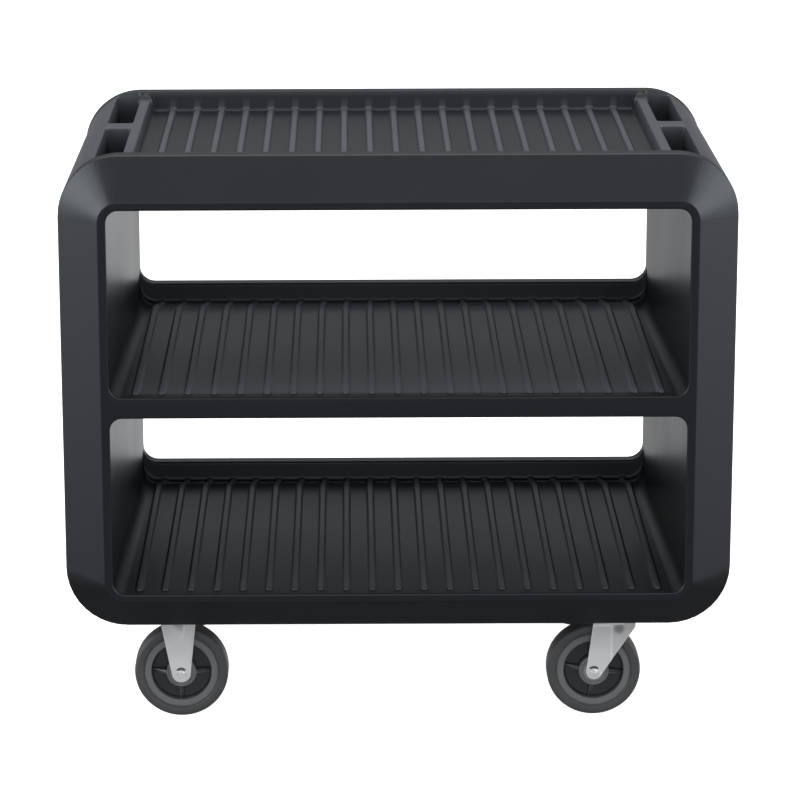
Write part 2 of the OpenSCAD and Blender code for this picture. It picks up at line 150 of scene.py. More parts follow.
class CartCasterSizes(bpy.types.PropertyGroup):
    """Sizes of the four casters."""

    sheet: length("Sheet", "Thickness of the fork's sheet steel", 0.003)
    sheet_edge: length("Sheet edge", "Rounding along the edges of the sheet", 0.0009)
    crown: length("Crown", "Thickness of the swivel fork's crown", 0.0036)
    bend: length("Bend", "Outside radius where a swivel leg bends into its crown", 0.005)
    flare: length("Flare", "Radius where a rigid leg spreads into its plate", 0.004)
    stamp: length("Stamp", "Depth of the pressed recess at the top of each leg", 0.0036)
    fork_half: length("Fork half width", "From the wheel's middle plane to a leg's outer face", 0.029)
    rigid_left: length("Rigid left", "Reach of a rigid leg's top to the left of the axle", 0.0345)
    rigid_right: length("Rigid right", "Reach of a rigid leg's top to the right of the axle", 0.0256)
    rigid_end: length("Rigid end", "Radius of a rigid leg's end about the axle", 0.0153)
    swivel_left: length("Swivel left", "Reach of a swivel leg's top to the left of the kingpin", 0.0348)
    swivel_right: length("Swivel right", "Reach of a swivel leg's top to the right of the kingpin", 0.0385)
    swivel_clip: length("Swivel clip", "Reach of the crown to the right of the kingpin", 0.0338)
    swivel_end: length("Swivel end", "Radius of a swivel leg's end about the axle", 0.0125)
    race_outer: length("Race outer", "Outside radius of the ball races", 0.031)
    race_inner: length("Race inner", "Inside radius of the ball races", 0.019)
    kingpin: length("Kingpin", "Diameter of the kingpin", 0.016)
    plate: length("Plate", "Thickness of the mounting plates", 0.004)
    plate_corner: length("Plate corner", "Plan radius of a mounting plate's corners", 0.008)
    bolt_pitch_x: length("Bolt pitch X", "Distance between the fixing bolts along the cart", 0.092)
    bolt_pitch_y: length("Bolt pitch Y", "Distance between the fixing bolts across the cart", 0.067)
    bolt: length("Bolt", "Diameter of the fixing bolts", 0.008)
    bolt_head: length("Bolt head", "Corner radius of a fixing bolt's head", 0.0075)
    bolt_head_height: length("Bolt head height", "Height of a fixing bolt's head", 0.0053)
    axle: length("Axle", "Diameter of the axle bolts", 0.008)
    axle_head: length("Axle head", "Corner radius of the axle bolt's head and nut", 0.00736)
    # Painted shade: the outside radius of the dark crescent painted above each axle bolt.
    axle_shade_crescent: length("Axle mark", "Outside radius of the dark mark above an axle bolt", 0.0104)
    crease: length("Crease", "Depth of the step pressed down a swivel leg", 0.0014)
    axle_head_height: length("Axle head height", "Height of the axle bolt's head", 0.0064)
    sleeve: length("Sleeve", "Outside radius of the axle sleeve", 0.007)
    bush: length("Bush", "Outside radius of a hub bush", 0.011)
    bush_flange: length("Bush flange", "Thickness of a hub bush's flange", 0.0015)
    hub: length("Hub", "Outside radius of the hub", 0.0245)
    web: length("Web", "Half thickness of the wheel's web", 0.003)
    rim: length("Rim", "Inside radius of the wheel's rim", 0.049)
    spoke: length("Spoke", "Thickness of a spoke", 0.0052)
    tyre: length("Tyre", "Thickness of the tyre from tread to rim", 0.0162)
    swivel_turn: bpy.props.FloatProperty(
        name="Swivel wheel turn", description="How far the swivel wheels' spokes stand turned",
        default=math.radians(7), subtype="ANGLE", unit="ROTATION",
    )


class CartFinishes(bpy.types.PropertyGroup):
    """Colours of the cart's finishes."""

    body_colour: colour("Body", "Moulded polyethylene", (0.0078, 0.0087, 0.0112))
    # Painted sheen, partly rubbing wear: the lighter colour mixed onto floors, rib tops, bars and handle arcs.
    sheen_and_wear_colour: colour("Burnished", "Floors, rib tops and bars, rubbed lighter", (0.110, 0.116, 0.131))
    core_colour: colour("Wheel core", "Moulded wheel core", (0.023, 0.024, 0.027))
    # Painted light: the colour of the wheel core's outer faces, set against the web's painted shade.
    core_worn: colour("Worn core", "Rim, hub and spoke edges of the wheel core", (0.112, 0.114, 0.121))
    tyre_colour: colour("Tyre", "Thermoplastic rubber", (0.050, 0.051, 0.054))
    zinc_colour: colour("Zinc", "Zinc plated steel", (0.90, 0.905, 0.92))
    brass_colour: colour("Brass", "Threaded inserts", (0.62, 0.48, 0.22))
    nylon_colour: colour("Nylon", "Hub bushes", (0.20, 0.205, 0.215))
    plug_colour: colour("Plug", "Vent plug", (0.020, 0.020, 0.022))


class CartStudio(bpy.types.PropertyGroup):
    """Camera, and how bright the surroundings are in each direction."""

    lens: number("Lens", "Focal length in millimetres", 156.88)
    camera_place: bpy.props.FloatVectorProperty(
        name="Camera", description="Place of the camera", default=(-0.0769, -5.6026, 1.9356),
        subtype="TRANSLATION", unit="LENGTH",
    )
    pitch: bpy.props.FloatProperty(
        name="Pitch", description="How far the camera looks down", default=0.255,
        subtype="ANGLE", unit="ROTATION",
    )
    roll: bpy.props.FloatProperty(
        name="Roll", description="Turn of the camera about its line of sight", default=-0.004,
        subtype="ANGLE", unit="ROTATION",
    )
    shift: number("Shift", "Sideways shift of the lens, as a share of the frame", 0.0633)
    front_light: number("Front", "Brightness above and in front of the cart", 1.08)
    front_shade: number("Front shade", "Brightness below and in front of the cart", 0.24)
    side_light: number("Side", "Brightness beside the cart", 2.05)
    side_shade: number("Side shade", "Brightness below and beside the cart", 0.10)
    back_light: number("Back", "Brightness just below and behind the cart", 1.05)
    back_shade: number("Back shade", "Brightness just above and behind the cart", 0.16)
    back_high: number("Back high", "Brightness high behind the cart", 1.0)
    back_low: number("Back low", "Brightness far below and behind the cart", 0.30)
    overhead_light: number("Overhead", "Brightness straight above", 0.45)
    under_shade: number("Under", "Brightness straight below", 0.15)
    floor_glow: number("Floor glow", "How much the floor lights itself", 0.92)


class Value:
    """A shader socket that Python's operators work on: each adds a Math node."""

    def __init__(self, shader, socket):
        self.shader = shader
        self.socket = socket

    def math(self, operation, *values):
        inputs = dict(enumerate(values))
        return self.shader.add("ShaderNodeMath", {"operation": operation}, inputs)

    def __add__(self, other):
        return self.math("ADD", self, other)

    def __radd__(self, other):
        return self.math("ADD", other, self)

    def __sub__(self, other):
        return self.math("SUBTRACT", self, other)

    def __rsub__(self, other):
        return self.math("SUBTRACT", other, self)

    def __mul__(self, other):
        return self.math("MULTIPLY", self, other)

    def __rmul__(self, other):
        return self.math("MULTIPLY", other, self)

    def __truediv__(self, other):
        return self.math("DIVIDE", self, other)

    def ramp(self, low, high):
        """0 below low and 1 above high, smooth between them."""
        settings = {"interpolation_type": "SMOOTHSTEP"}
        inputs = {"Value": self, "From Min": low, "From Max": high}
        return self.shader.add("ShaderNodeMapRange", settings, inputs)

    def clamped(self):
        return self.shader.add("ShaderNodeClamp", {}, {"Value": self})


class Shader:
    """A material, or the world, under construction."""

    def __init__(self, owner):
        self.owner = owner
        owner.use_nodes = True
        self.tree = owner.node_tree
        self.tree.nodes.clear()

    def add(self, kind, settings=None, inputs=None, output=0):
        """Adds a node: its settings first, then the values or links of its sockets."""
        node = self.tree.nodes.new(kind)
        for name, value in (settings or {}).items():
            setattr(node, name, value)
        for name, value in (inputs or {}).items():
            if isinstance(value, Value):
                self.tree.links.new(value.socket, node.inputs[name])
            else:
                node.inputs[name].default_value = value
        return Value(self, node.outputs[output]) if node.outputs else node

    def place(self):
        """The point being shaded, in the piece's own frame, in metres."""
        return self.add("ShaderNodeTexCoord", output=3)

    def parts(self, vector):
        """The three numbers of a vector."""
        split = self.add("ShaderNodeSeparateXYZ", inputs={0: vector}).socket.node
        return [Value(self, socket) for socket in split.outputs]

    def noise(self, vector, scale, detail=2.0, roughness=0.5):
        inputs = {"Vector": vector, "Scale": scale, "Detail": detail, "Roughness": roughness}
        return self.add("ShaderNodeTexNoise", {}, inputs)

    def stretched(self, vector, factors):
        """A vector multiplied by three factors."""
        return self.add("ShaderNodeVectorMath", {"operation": "MULTIPLY"}, {0: vector, 1: factors})

    def mix(self, share, first, second):
        """A colour between two colours."""
        return self.add("ShaderNodeMix", {"data_type": "RGBA"}, {0: share, 6: first, 7: second}, output=2)

    def attribute(self, name):
        """A number stored on the mesh."""
        return self.add("ShaderNodeAttribute", {"attribute_name": name}, output=2)

    def bump(self, height, strength, distance):
        inputs = {"Height": height, "Strength": strength, "Distance": distance}
        return self.add("ShaderNodeBump", {}, inputs)

    def surface(self, inputs):
        """Joins a Principled shader with these inputs to the output."""
        principled = self.add("ShaderNodeBsdfPrincipled", {}, inputs)
        self.add("ShaderNodeOutputMaterial", {}, {"Surface": principled})
        return self.owner


def blended(share, low, high):
    """A number between two, either of which may be a shader value."""
    return low + (high - low) * share


def opaque(rgb, scale=1.0):
    """A colour property as four numbers, lighter or darker by a scale."""
    return (rgb[0] * scale, rgb[1] * scale, rgb[2] * scale, 1.0)


def new_shader(name):
    return Shader(bpy.data.materials.new(name))


def moulded_body(finish):
    """Rotationally moulded polyethylene: fine grain, cloudy gloss, and a lighter colour on ribs, bars, handle arcs
    and the middle shelf floor as painted sheen, partly rubbing wear.
    """
    shader = new_shader("moulded_polyethylene")
    place = shader.place()
    cloud = shader.noise(place, 5.0, 3.0)
    grain = shader.noise(place, 1400.0, 2.0, 0.6)
    orange_peel = shader.noise(place, 160.0, 2.0)
    scuffs = shader.noise(shader.stretched(place, (90.0, 6.0, 90.0)), 1.0, 4.0, 0.7).ramp(0.56, 0.72)
    # The mesh attribute read here says where the lighter colour goes: painted sheen, partly rubbing wear.
    sheen_and_wear = shader.attribute("marked")
    share = (sheen_and_wear * (0.85 + 0.3 * (cloud - 0.5)) + 0.10 * scuffs * sheen_and_wear).clamped()
    plain = shader.mix(cloud, opaque(finish.body_colour, 0.92), opaque(finish.body_colour, 1.08))
    base = shader.mix(share, plain, opaque(finish.sheen_and_wear_colour))
    roughness = 0.36 + 0.10 * (cloud - 0.5) + 0.06 * (grain - 0.5) + 0.06 * sheen_and_wear
    height = grain * 0.6 + orange_peel
    return shader.surface({
        "Base Color": base,
        "Roughness": roughness,
        "IOR": 1.52,
        "Specular Tint": (0.88, 0.94, 1.0, 1.0),
        "Normal": shader.bump(height, 0.12, 0.0004),
    })


def moulded_part(name, rgb, roughness, grain_scale, strength, painted_light=None):
    """A moulded plastic or rubber part with a fine grain; a second colour, if given, is mixed in as painted light
    where the mesh attribute says.
    """
    shader = new_shader(name)
    place = shader.place()
    cloud = shader.noise(place, 22.0, 3.0)
    grain = shader.noise(place, grain_scale, 2.0, 0.6)
    base = shader.mix(cloud, opaque(rgb, 0.88), opaque(rgb, 1.12))
    if painted_light is not None:
        # Painted light: the second colour lightens the places the mesh attribute picks.
        base = shader.mix(shader.attribute("marked"), base, opaque(painted_light))
    return shader.surface({
        "Base Color": base,
        "Roughness": roughness + 0.12 * (cloud - 0.5) + 0.08 * (grain - 0.5),
        "Normal": shader.bump(grain, strength, 0.0003),
    })


def plated_steel(name, rgb, roughness, brushing, strength, metallic=1.0, painted_shade=0.9):
    """Zinc plated or polished steel, with faint rolling marks, cloudy plating, and painted shade darkening the
    places the mesh attribute picks.
    """
    shader = new_shader(name)
    place = shader.place()
    cloud = shader.noise(place, 40.0, 4.0, 0.6)
    marks = shader.noise(shader.stretched(place, (brushing, brushing, brushing * 0.04)), 1.0, 3.0, 0.6)
    bright = shader.mix(cloud, opaque(rgb, 0.90), opaque(rgb, 1.05))
    base = shader.mix(shader.attribute("marked"), bright, opaque(rgb, painted_shade))
    return shader.surface({
        "Base Color": base,
        "Metallic": metallic,
        "Roughness": roughness + 0.14 * (cloud - 0.5) + 0.10 * (marks - 0.5),
        "Normal": shader.bump(marks, strength, 0.0002),
    })


def finishes(context):
    """Every material of the cart by its slot in the record, made once."""
    if "moulded_polyethylene" not in bpy.data.materials:
        finish = context.scene.cart_finishes
        made = {
            "moulded_body": moulded_body(finish),
            "plug": moulded_part("plug_plastic", finish.plug_colour, 0.5, 900.0, 0.1),
            "wheel_core": moulded_part(
                "core_polyolefin", finish.core_colour, 0.42, 900.0, 0.15, finish.core_worn),
            "tread": moulded_part("tyre_rubber", finish.tyre_colour, 0.5, 700.0, 0.25),
            "bush": moulded_part("bush_nylon", finish.nylon_colour, 0.4, 900.0, 0.05),
            # The zinc sheet's painted shade scales its colour down to 0.05.
            "zinc_sheet": plated_steel("zinc_sheet", finish.zinc_colour, 0.32, 600.0, 0.08, 0.35, 0.05),
            "zinc_fastener": plated_steel("zinc_fastener", finish.zinc_colour, 0.26, 900.0, 0.05, 0.6),
            "bearing_steel": plated_steel("bearing_steel", finish.zinc_colour, 0.12, 900.0, 0.02),
            "brass_insert": plated_steel("turned_brass", finish.brass_colour, 0.25, 900.0, 0.05),
        }
        for slot, material in made.items():
            material["cart_slot"] = slot
    return {m["cart_slot"]: m for m in bpy.data.materials if "cart_slot" in m}


def make_piece(context, name, points, faces, node, sharp=40.0, marks=None):
    """Links a mesh as the piece that stands for a CAD node; marks give each point's share of painted light and
    shade, on the body partly rubbing wear.
    """
    mesh = bpy.data.meshes.new(name)
    mesh.from_pydata([tuple(p) for p in points], [], [tuple(f) for f in faces])
    if marks is not None:
        stored = mesh.attributes.new("marked", "FLOAT", "POINT")
        stored.data.foreach_set("value", np.asarray(marks, np.float32))
    work = bmesh.new()
    work.from_mesh(mesh)
    bmesh.ops.remove_doubles(work, verts=work.verts, dist=1e-6)
    bmesh.ops.recalc_face_normals(work, faces=work.faces)
    work.to_mesh(mesh)
    work.free()
    mesh.polygons.foreach_set("use_smooth", [True] * len(mesh.polygons))
    mesh.set_sharp_from_angle(angle=math.radians(sharp))
    mesh.materials.append(finishes(context)[SLOTS[node]])
    piece = bpy.data.objects.new(name, mesh)
    context.scene.collection.objects.link(piece)
    weighted = piece.modifiers.new("face_normals", "WEIGHTED_NORMAL")
    weighted.keep_sharp = True
    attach(piece, NODE_BODY[node])
    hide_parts(node)
    return piece


def grid_faces(rows, columns, start=0, closed=False):
    """Quads between neighbouring rows of a grid of points."""
    last = columns if closed else columns - 1
    return [
        (
            start + r * columns + c,
            start + r * columns + (c + 1) % columns,
            start + (r + 1) * columns + (c + 1) % columns,
            start + (r + 1) * columns + c,
        )
        for r in range(rows - 1)
        for c in range(last)
    ]


def merged_lines(lines, least=0.00035, most=0.03):
    """Sorted positions without near duplicates, with wide gaps filled evenly."""
    kept = []
    for value in sorted(lines):
        if not kept or value - kept[-1] > least:
            kept.append(value)
    filled = [kept[0]]
    for a, b in zip(kept, kept[1:]):
        count = max(1, math.ceil((b - a) / most - 1e-6))
        filled += [a + (b - a) * i / count for i in range(1, count + 1)]
    return np.array(filled)


def wall_profile(depth, lip, foot, draft, steps=5):
    """Points (distance inward, share of the depth) down a recess wall, round at its lip and foot."""
    turn = math.pi / 2 - math.atan2(draft, depth)
    angles = np.linspace(0.0, turn, steps)
    top = [(lip * math.sin(a), lip * (1 - math.cos(a))) for a in angles]
    drop = depth - (lip + foot) * (1 - math.cos(turn))
    end = top[-1][0] + drop / math.tan(turn) + foot * math.sin(turn)
    base = [(end - foot * math.sin(a), depth - foot * (1 - math.cos(a))) for a in angles[::-1]]
    points = np.array(top + base)
    points[:, 1] /= depth
    return points


def depth_share(profile, inward):
    return np.interp(inward, profile[:, 0], profile[:, 1])


RIB_OFFSETS = np.array([3.0, 3.7, 4.4, 6.3, 7.0, 7.8]) * MM
RIB_SHARES = np.array([1.0, 0.95, 0.80, 0.16, 0.04, 0.0])


def rib_centres(half_room, pitch):
    """Centres of a row of ribs about the middle, as many as the room takes."""
    side = int((half_room + 1e-6) / pitch)
    return [i * pitch for i in range(-side, side + 1)]


def rib_lines(centres):
    return [c + s * d for c in centres for d in RIB_OFFSETS for s in (-1, 1)]


def rib_share(x, centres):
    """Share of a rib's height at each x."""
    nearest = np.min(np.abs(np.asarray(x)[..., None] - np.asarray(centres)), axis=-1)
    return np.interp(nearest, RIB_OFFSETS, RIB_SHARES)


class Recess:
    """A rectangular recess with round plan corners, drawn on a grid of straight lines."""

    def __init__(self, x0, x1, y0, y1, radius, profile, margin=0.003, round_back=True):
        self.x0, self.x1, self.y0, self.y1 = x0, x1, y0, y1
        self.radius = radius
        self.profile = profile
        self.margin = margin
        self.corner_ends = (-1, 1) if round_back else (-1,)

    def lines_x(self):
        return [self.x0 + s for s in self.profile[:, 0]] + [self.x1 - s for s in self.profile[:, 0]]

    def lines_y(self):
        return [self.y0 + s for s in self.profile[:, 0]] + [self.y1 - s for s in self.profile[:, 0]]

    def share(self, u, v):
        inward = np.minimum(np.minimum(u - self.x0, self.x1 - u), np.minimum(v - self.y0, self.y1 - v))
        return depth_share(self.profile, inward)

    def rounded(self, u, v, x, y):
        """Moves grid points near the corners onto arcs."""
        for side in (-1, 1):
            centre_u = self.x1 - self.radius if side > 0 else self.x0 + self.radius
            for end in self.corner_ends:
                centre_v = self.y1 - self.radius if end > 0 else self.y0 + self.radius
                p = side * (u - centre_u)
                q = end * (v - centre_v)
                t = np.maximum(p, q)
                inside = (p > 0) & (q > 0) & (t < self.radius + self.margin)
                weight = np.clip((self.radius + self.margin - t) / self.margin, 0, 1)
                weight = weight * weight * (3 - 2 * weight)
                ratio = np.minimum(p, q) / np.maximum(t, 1e-9)
                turn = math.pi / 4 * np.clip(ratio, 0, 1)
                long_part, short_part = t * np.cos(turn), t * np.sin(turn)
                new_p = np.where(p >= q, long_part, short_part)
                new_q = np.where(p >= q, short_part, long_part)
                x = np.where(inside, x + side * weight * (new_p - p), x)
                y = np.where(inside, y + end * weight * (new_q - q), y)
        return x, y


def edge_arc(radius, turn_from, turn_to, steps):
    """Directions round a convex edge as (sine, cosine) pairs scaled by the radius."""
    angles = np.linspace(turn_from, turn_to, steps)
    return [(radius * math.sin(a), radius * math.cos(a)) for a in angles]


class Body:
    """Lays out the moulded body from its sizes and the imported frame."""

    def __init__(self, sizes):
        self.s = sizes
        self.half = BODY_HIGH.x
        self.low = BODY_LOW.z
        self.top = BODY_HIGH.z
        self.front = BODY_LOW.y
        self.back = BODY_HIGH.y
        self.flat = self.half - sizes.corner_radius
        self.tray_front = self.front + sizes.bevel_depth + sizes.tray_rim
        self.tray_back = self.back - sizes.tray_rim
        self.tray_floor = self.top - sizes.tray_drop
        self.bar_level = self.top - sizes.bar_drop
        self.pocket_inner = sizes.tray_length / 2 + sizes.bar_width
        self.pocket_outer = self.pocket_inner + sizes.pocket_width
        self.tray_ribs = rib_centres(sizes.tray_length / 2 - 19 * MM, sizes.tray_rib_pitch)
        self.lay_out_recesses()

    def lay_out_recesses(self):
        s = self.s
        edge = 3.5 * MM
        tray_wall = wall_profile(s.tray_drop, edge, 8 * MM, 2 * MM)
        self.tray = Recess(
            -s.tray_length / 2 - edge, s.tray_length / 2 + edge, self.tray_front - edge,
            self.tray_back + edge, s.tray_radius + edge, tray_wall, 5 * MM, round_back=False,
        )
        edge = 2.5 * MM
        pocket_wall = wall_profile(s.pocket_depth, edge, 4 * MM, 2 * MM, 4)
        pocket_front = self.tray_front + s.pocket_inset
        middle = (pocket_front + self.tray_back) / 2
        spans = ((pocket_front, middle - s.divider / 2), (middle + s.divider / 2, self.tray_back))
        self.pockets = [
            Recess(
                min(side * self.pocket_inner, side * self.pocket_outer) - edge,
                max(side * self.pocket_inner, side * self.pocket_outer) + edge,
                y0 - edge, y1 + edge, s.pocket_radius + edge, pocket_wall,
            )
            for side in (-1, 1)
            for y0, y1 in spans
        ]
        self.boss_middle = s.tray_length / 2 + s.bar_width / 2
        self.boss_front = self.tray_back - s.boss_length

    def stations(self):
        """Rings from the front strip to the back face as (y, inset of the sides, inset of the base)."""
        s = self.s
        slope = math.atan2(s.bevel_depth, s.bevel_width)
        base_share = s.bevel_base / s.bevel_width
        rings = []
        inner = s.bevel_width + s.strip_edge * math.tan(slope / 2)
        for sine, cosine in edge_arc(s.strip_edge, 0.0, slope, 4):
            rings.append((self.front + s.strip_edge - cosine, inner - sine))
        reach = s.bevel_edge * math.tan((math.pi / 2 - slope) / 2)
        for sine, cosine in edge_arc(s.bevel_edge, slope, math.pi / 2, 6):
            rings.append((self.front + s.bevel_depth + reach - cosine, s.bevel_edge - sine))
        front_part = [(y, inset, inset * base_share) for y, inset in rings]
        lines = [front_part[-1][0], self.back - s.back_edge]
        for recess in [self.tray, *self.pockets]:
            lines += recess.lines_y()
        lines += [self.boss_front + d * MM for d in (0.0, 0.5, 1.2, 2.2, 3.5)]
        lines += [self.boss_front - 1 * MM]
        body_part = [(y, 0.0, 0.0) for y in merged_lines(lines)[1:]]
        back_part = [
            (self.back - s.back_edge + sine, s.back_edge - cosine, s.back_edge - cosine)
            for sine, cosine in edge_arc(s.back_edge, 0.0, math.pi / 2, 6)
        ][1:]
        return front_part + body_part + back_part

    def top_lines(self):
        """Positions across the top, from one 45 degree point of the corners to the other."""
        s = self.s
        lines = [0.0, self.flat, self.flat + s.corner_radius * math.sin(math.pi / 4)]
        lines += [self.flat + s.corner_radius * math.sin(math.radians(a)) for a in range(6, 45, 6)]
        for recess in [self.tray, *self.pockets]:
            lines += [x for x in recess.lines_x() if x > 0]
        half = s.boss_width / 2
        lines += [self.boss_middle + half * math.sin(math.radians(a)) for a in range(-75, 76, 15)]
        lines += [self.boss_middle + d * half for d in (-1.06, -1.0, 1.0, 1.06)]
        lines += [x for x in rib_lines(self.tray_ribs) if x > 0]
        positive = merged_lines(lines, most=0.024)
        return np.concatenate([-positive[:0:-1], positive])

    def rim_height(self, x, radius):
        """Height of the plain outside above x."""
        beyond = np.clip(np.abs(x) - self.flat, 0.0, radius * 0.999)
        return self.top - radius + np.sqrt(radius * radius - beyond * beyond)

    def top_surface(self, u, v):
        """Points of the top, with its tray, bars, pockets, bosses and ribs, and their share of painted sheen,
        partly rubbing wear.
        """
        s = self.s
        x, y = u.copy(), v.copy()
        for recess in [self.tray, *self.pockets]:
            x, y = recess.rounded(u, v, x, y)
        rim = self.rim_height(x, s.corner_radius)
        deck_wall = wall_profile(s.bar_drop, 3 * MM, 2 * MM, 0.6 * MM)
        inward = np.minimum(v - self.tray.y0, self.tray.y1 - v)
        on_deck = depth_share(deck_wall, inward)
        z = rim - np.maximum(rim - self.bar_level, 0.0) * on_deck
        tray = self.tray.share(u, v)
        z = z - (z - self.tray_floor) * tray
        rib = rib_share(u, self.tray_ribs) * np.clip(1 - (z - self.tray_floor) / (12 * MM), 0, 1)
        rib = rib * (tray > 0.05)
        floor = self.bar_level - s.pocket_depth
        in_pocket = np.zeros_like(z)
        for recess in self.pockets:
            share = recess.share(u, v)
            z = z - (z - floor) * share
            in_pocket = np.maximum(in_pocket, share)
        z = z + rib * s.rib_height
        half = s.boss_width / 2
        across = np.abs(np.abs(x) - self.boss_middle)
        arch = self.top - s.boss_drop - half + np.sqrt(np.maximum(half * half - across * across, 0.0))
        along = v - self.boss_front
        rise = np.interp(along, [0.0, 0.5 * MM, 1.2 * MM, 2.2 * MM, 3.5 * MM], [0.0, 0.55, 0.80, 0.94, 1.0])
        on_boss = (across <= half * 1.001) & (v > self.boss_front)
        z = np.where(on_boss, np.maximum(z, z + (arch - z) * rise), z)
        # Painted sheen, partly rubbing wear: rib tops and the bars are made lighter.
        on_bar = on_deck * (1 - tray) * (1 - in_pocket) * (np.abs(u) > s.tray_length / 2 - 2 * MM)
        sheen_and_wear = np.maximum(rib, on_bar * (~on_boss))
        return np.stack([x, y, z], axis=-1), sheen_and_wear

    def waist(self, y):
        """How far the sides are drawn in at each y."""
        start = self.front + self.s.bevel_depth
        end = self.back - 34 * MM
        grow = np.clip((y - start) / (end - start), 0, 1)
        back = np.clip((y - end) / (16 * MM), 0, 1)
        return self.s.waist * grow * (1 - back * back * (3 - 2 * back))

    def outside(self):
        """Rings of points round the outside, front to back, and each point's share of painted sheen, partly
        rubbing wear.
        """
        s = self.s
        stations = np.array(self.stations())
        rows = len(stations)
        y, inset, base_inset = (stations[:, i:i + 1] for i in range(3))
        radius = s.corner_radius - inset
        top_u = self.top_lines()
        u = np.repeat(top_u[None, :], rows, axis=0)
        v = np.repeat(y, len(top_u), axis=1)
        shaped, sheen_and_wear = self.top_surface(u, v)
        angle = np.arcsin(np.clip((np.abs(u) - self.flat) / s.corner_radius, 0, 1))
        bent = np.abs(u) > self.flat
        plain_x = np.where(bent, np.sign(u) * (self.flat + radius * np.sin(angle)), u)
        plain_z = self.top - inset - radius * (1 - np.cos(angle))
        plain = np.stack([plain_x, v, plain_z], axis=-1)
        within = ((v > self.tray.y0) & (v < self.tray.y1))[..., None]
        top = np.where(within, shaped, plain)
        draw = self.waist(y)
        top[..., 0] -= np.sign(u) * draw * np.clip((np.abs(u) - self.pocket_outer) / (25 * MM), 0, 1)
        arcs = np.radians(np.arange(51.0, 91.0, 6.0))
        arcs[-1] = math.pi / 2
        right_x = self.flat + (radius - draw) * np.sin(arcs)
        right_z = self.top - inset - radius * (1 - np.cos(arcs))
        heights = np.linspace(0.0, 1.0, 9)[1:-1]
        upper = self.top - s.corner_radius
        lower = self.low + base_inset + radius
        side_z = upper + (lower - upper) * heights
        side_x = np.repeat(self.flat + radius - draw, len(heights), axis=1)
        low_arcs = np.radians(np.arange(0.0, 90.0, 9.0))
        low_x = self.flat + (radius - draw) * np.cos(low_arcs)
        low_z = self.low + base_inset + radius * (1 - np.sin(low_arcs))
        base_x = np.repeat(np.linspace(self.flat, -self.flat, 25)[None, :], rows, axis=0)
        base = self.stack(base_x, y, self.low + base_inset + 0 * base_x)
        right = self.stack(np.concatenate([right_x, side_x, low_x], axis=1), y,
                           np.concatenate([right_z, side_z, low_z], axis=1))
        left = right[:, ::-1].copy()
        left[..., 0] *= -1
        ring = np.concatenate([top, right, base, left], axis=1)
        marks = np.zeros(ring.shape[:2])
        marks[:, :len(top_u)] = sheen_and_wear * within[..., 0]
        # Painted highlight: the tops of the handle arcs are made lighter, fading out down the sides and towards
        # the ends.
        arc_share = np.clip((np.abs(top_u) - self.pocket_outer) / (3 * MM), 0, 1)
        fade_in = np.clip((y - self.tray_front) / (6 * MM), 0, 1)
        along = fade_in * np.clip((self.tray_back - y) / (6 * MM), 0, 1)
        on_arc = arc_share * along * (np.abs(u) > self.flat)
        marks[:, :len(top_u)] = np.maximum(marks[:, :len(top_u)], on_arc)
        fade = np.concatenate([np.linspace(1.0, 0.0, len(arcs)), np.zeros(right.shape[1] - len(arcs))])
        start = len(top_u)
        marks[:, start:start + right.shape[1]] = fade * along
        marks[:, -right.shape[1]:] = fade[::-1] * along
        return ring, 0.62 * marks

    @staticmethod
    def stack(x, y, z):
        return np.stack([x, np.repeat(y, x.shape[1], axis=1), z], axis=-1)

    def bay_stations(self):
        """Rings down a bay as (y, flare, rise of the floor, lower radius, upper radius)."""
        s = self.s
        edge = s.opening_edge
        rings = [
            (self.front + edge - cosine, edge - sine, 0.0, s.opening_radius + edge - sine,
             s.opening_radius + edge - sine)
            for sine, cosine in edge_arc(edge, 0.0, math.pi / 2, 4)
        ]
        rib_start = self.front + s.rib_inset
        ramp = [rib_start + d * MM for d in (-1, 0, 0.6, 1.3, 2.2, 3.2, 4.4, 5.8, 7.4, 9.2, 11.4, 14)]
        foot_start = self.lip_face() - s.lip_foot
        grow_start = foot_start - 22 * MM
        for y in merged_lines([self.front + edge + 2 * MM, *ramp, grow_start], most=0.06):
            rings.append((y, 0.0, 0.0, s.opening_radius, s.opening_radius))
        big = s.opening_radius + 11 * MM
        for i in range(1, 5):
            share = i / 4
            grown = s.opening_radius + (big - s.opening_radius) * share * share * 0.5
            rings.append((grow_start + 22 * MM * share, 0.0, 0.0, grown, s.opening_radius))
        half_grown = rings[-1][3]
        for sine, cosine in edge_arc(s.lip_foot, math.pi / 16, math.pi / 2, 8):
            share = sine / s.lip_foot
            low_radius = half_grown + (big - half_grown) * share
            rings.append((foot_start + sine, 0.0, s.lip_foot - cosine, low_radius, s.opening_radius))
        rise = s.lip_height - s.lip_crest
        face = self.lip_face()
        for i in (1, 2):
            rings.append((face + i * 0.4 * MM, 0.0, s.lip_foot + (rise - s.lip_foot) * i / 2, big,
                          s.opening_radius))
        crest = face + 0.8 * MM
        for sine, cosine in edge_arc(s.lip_crest, math.pi / 12, math.pi / 2, 6):
            share = sine / s.lip_crest
            rings.append((crest + s.lip_crest - cosine, 0.0, rise + sine,
                          big + (s.back_radius - big) * share,
                          s.opening_radius + (s.back_radius - s.opening_radius) * 0.5 * share))
        edge = s.lip_crest
        start = self.back - edge
        for sine, cosine in edge_arc(edge, 0.0, math.pi / 2, 6):
            flare = edge - cosine
            rings.append((start + sine, flare, s.lip_height, s.back_radius + flare, s.back_radius + flare))
        return rings

    def lip_face(self):
        return self.back - self.s.lip_setback - self.s.lip_thickness

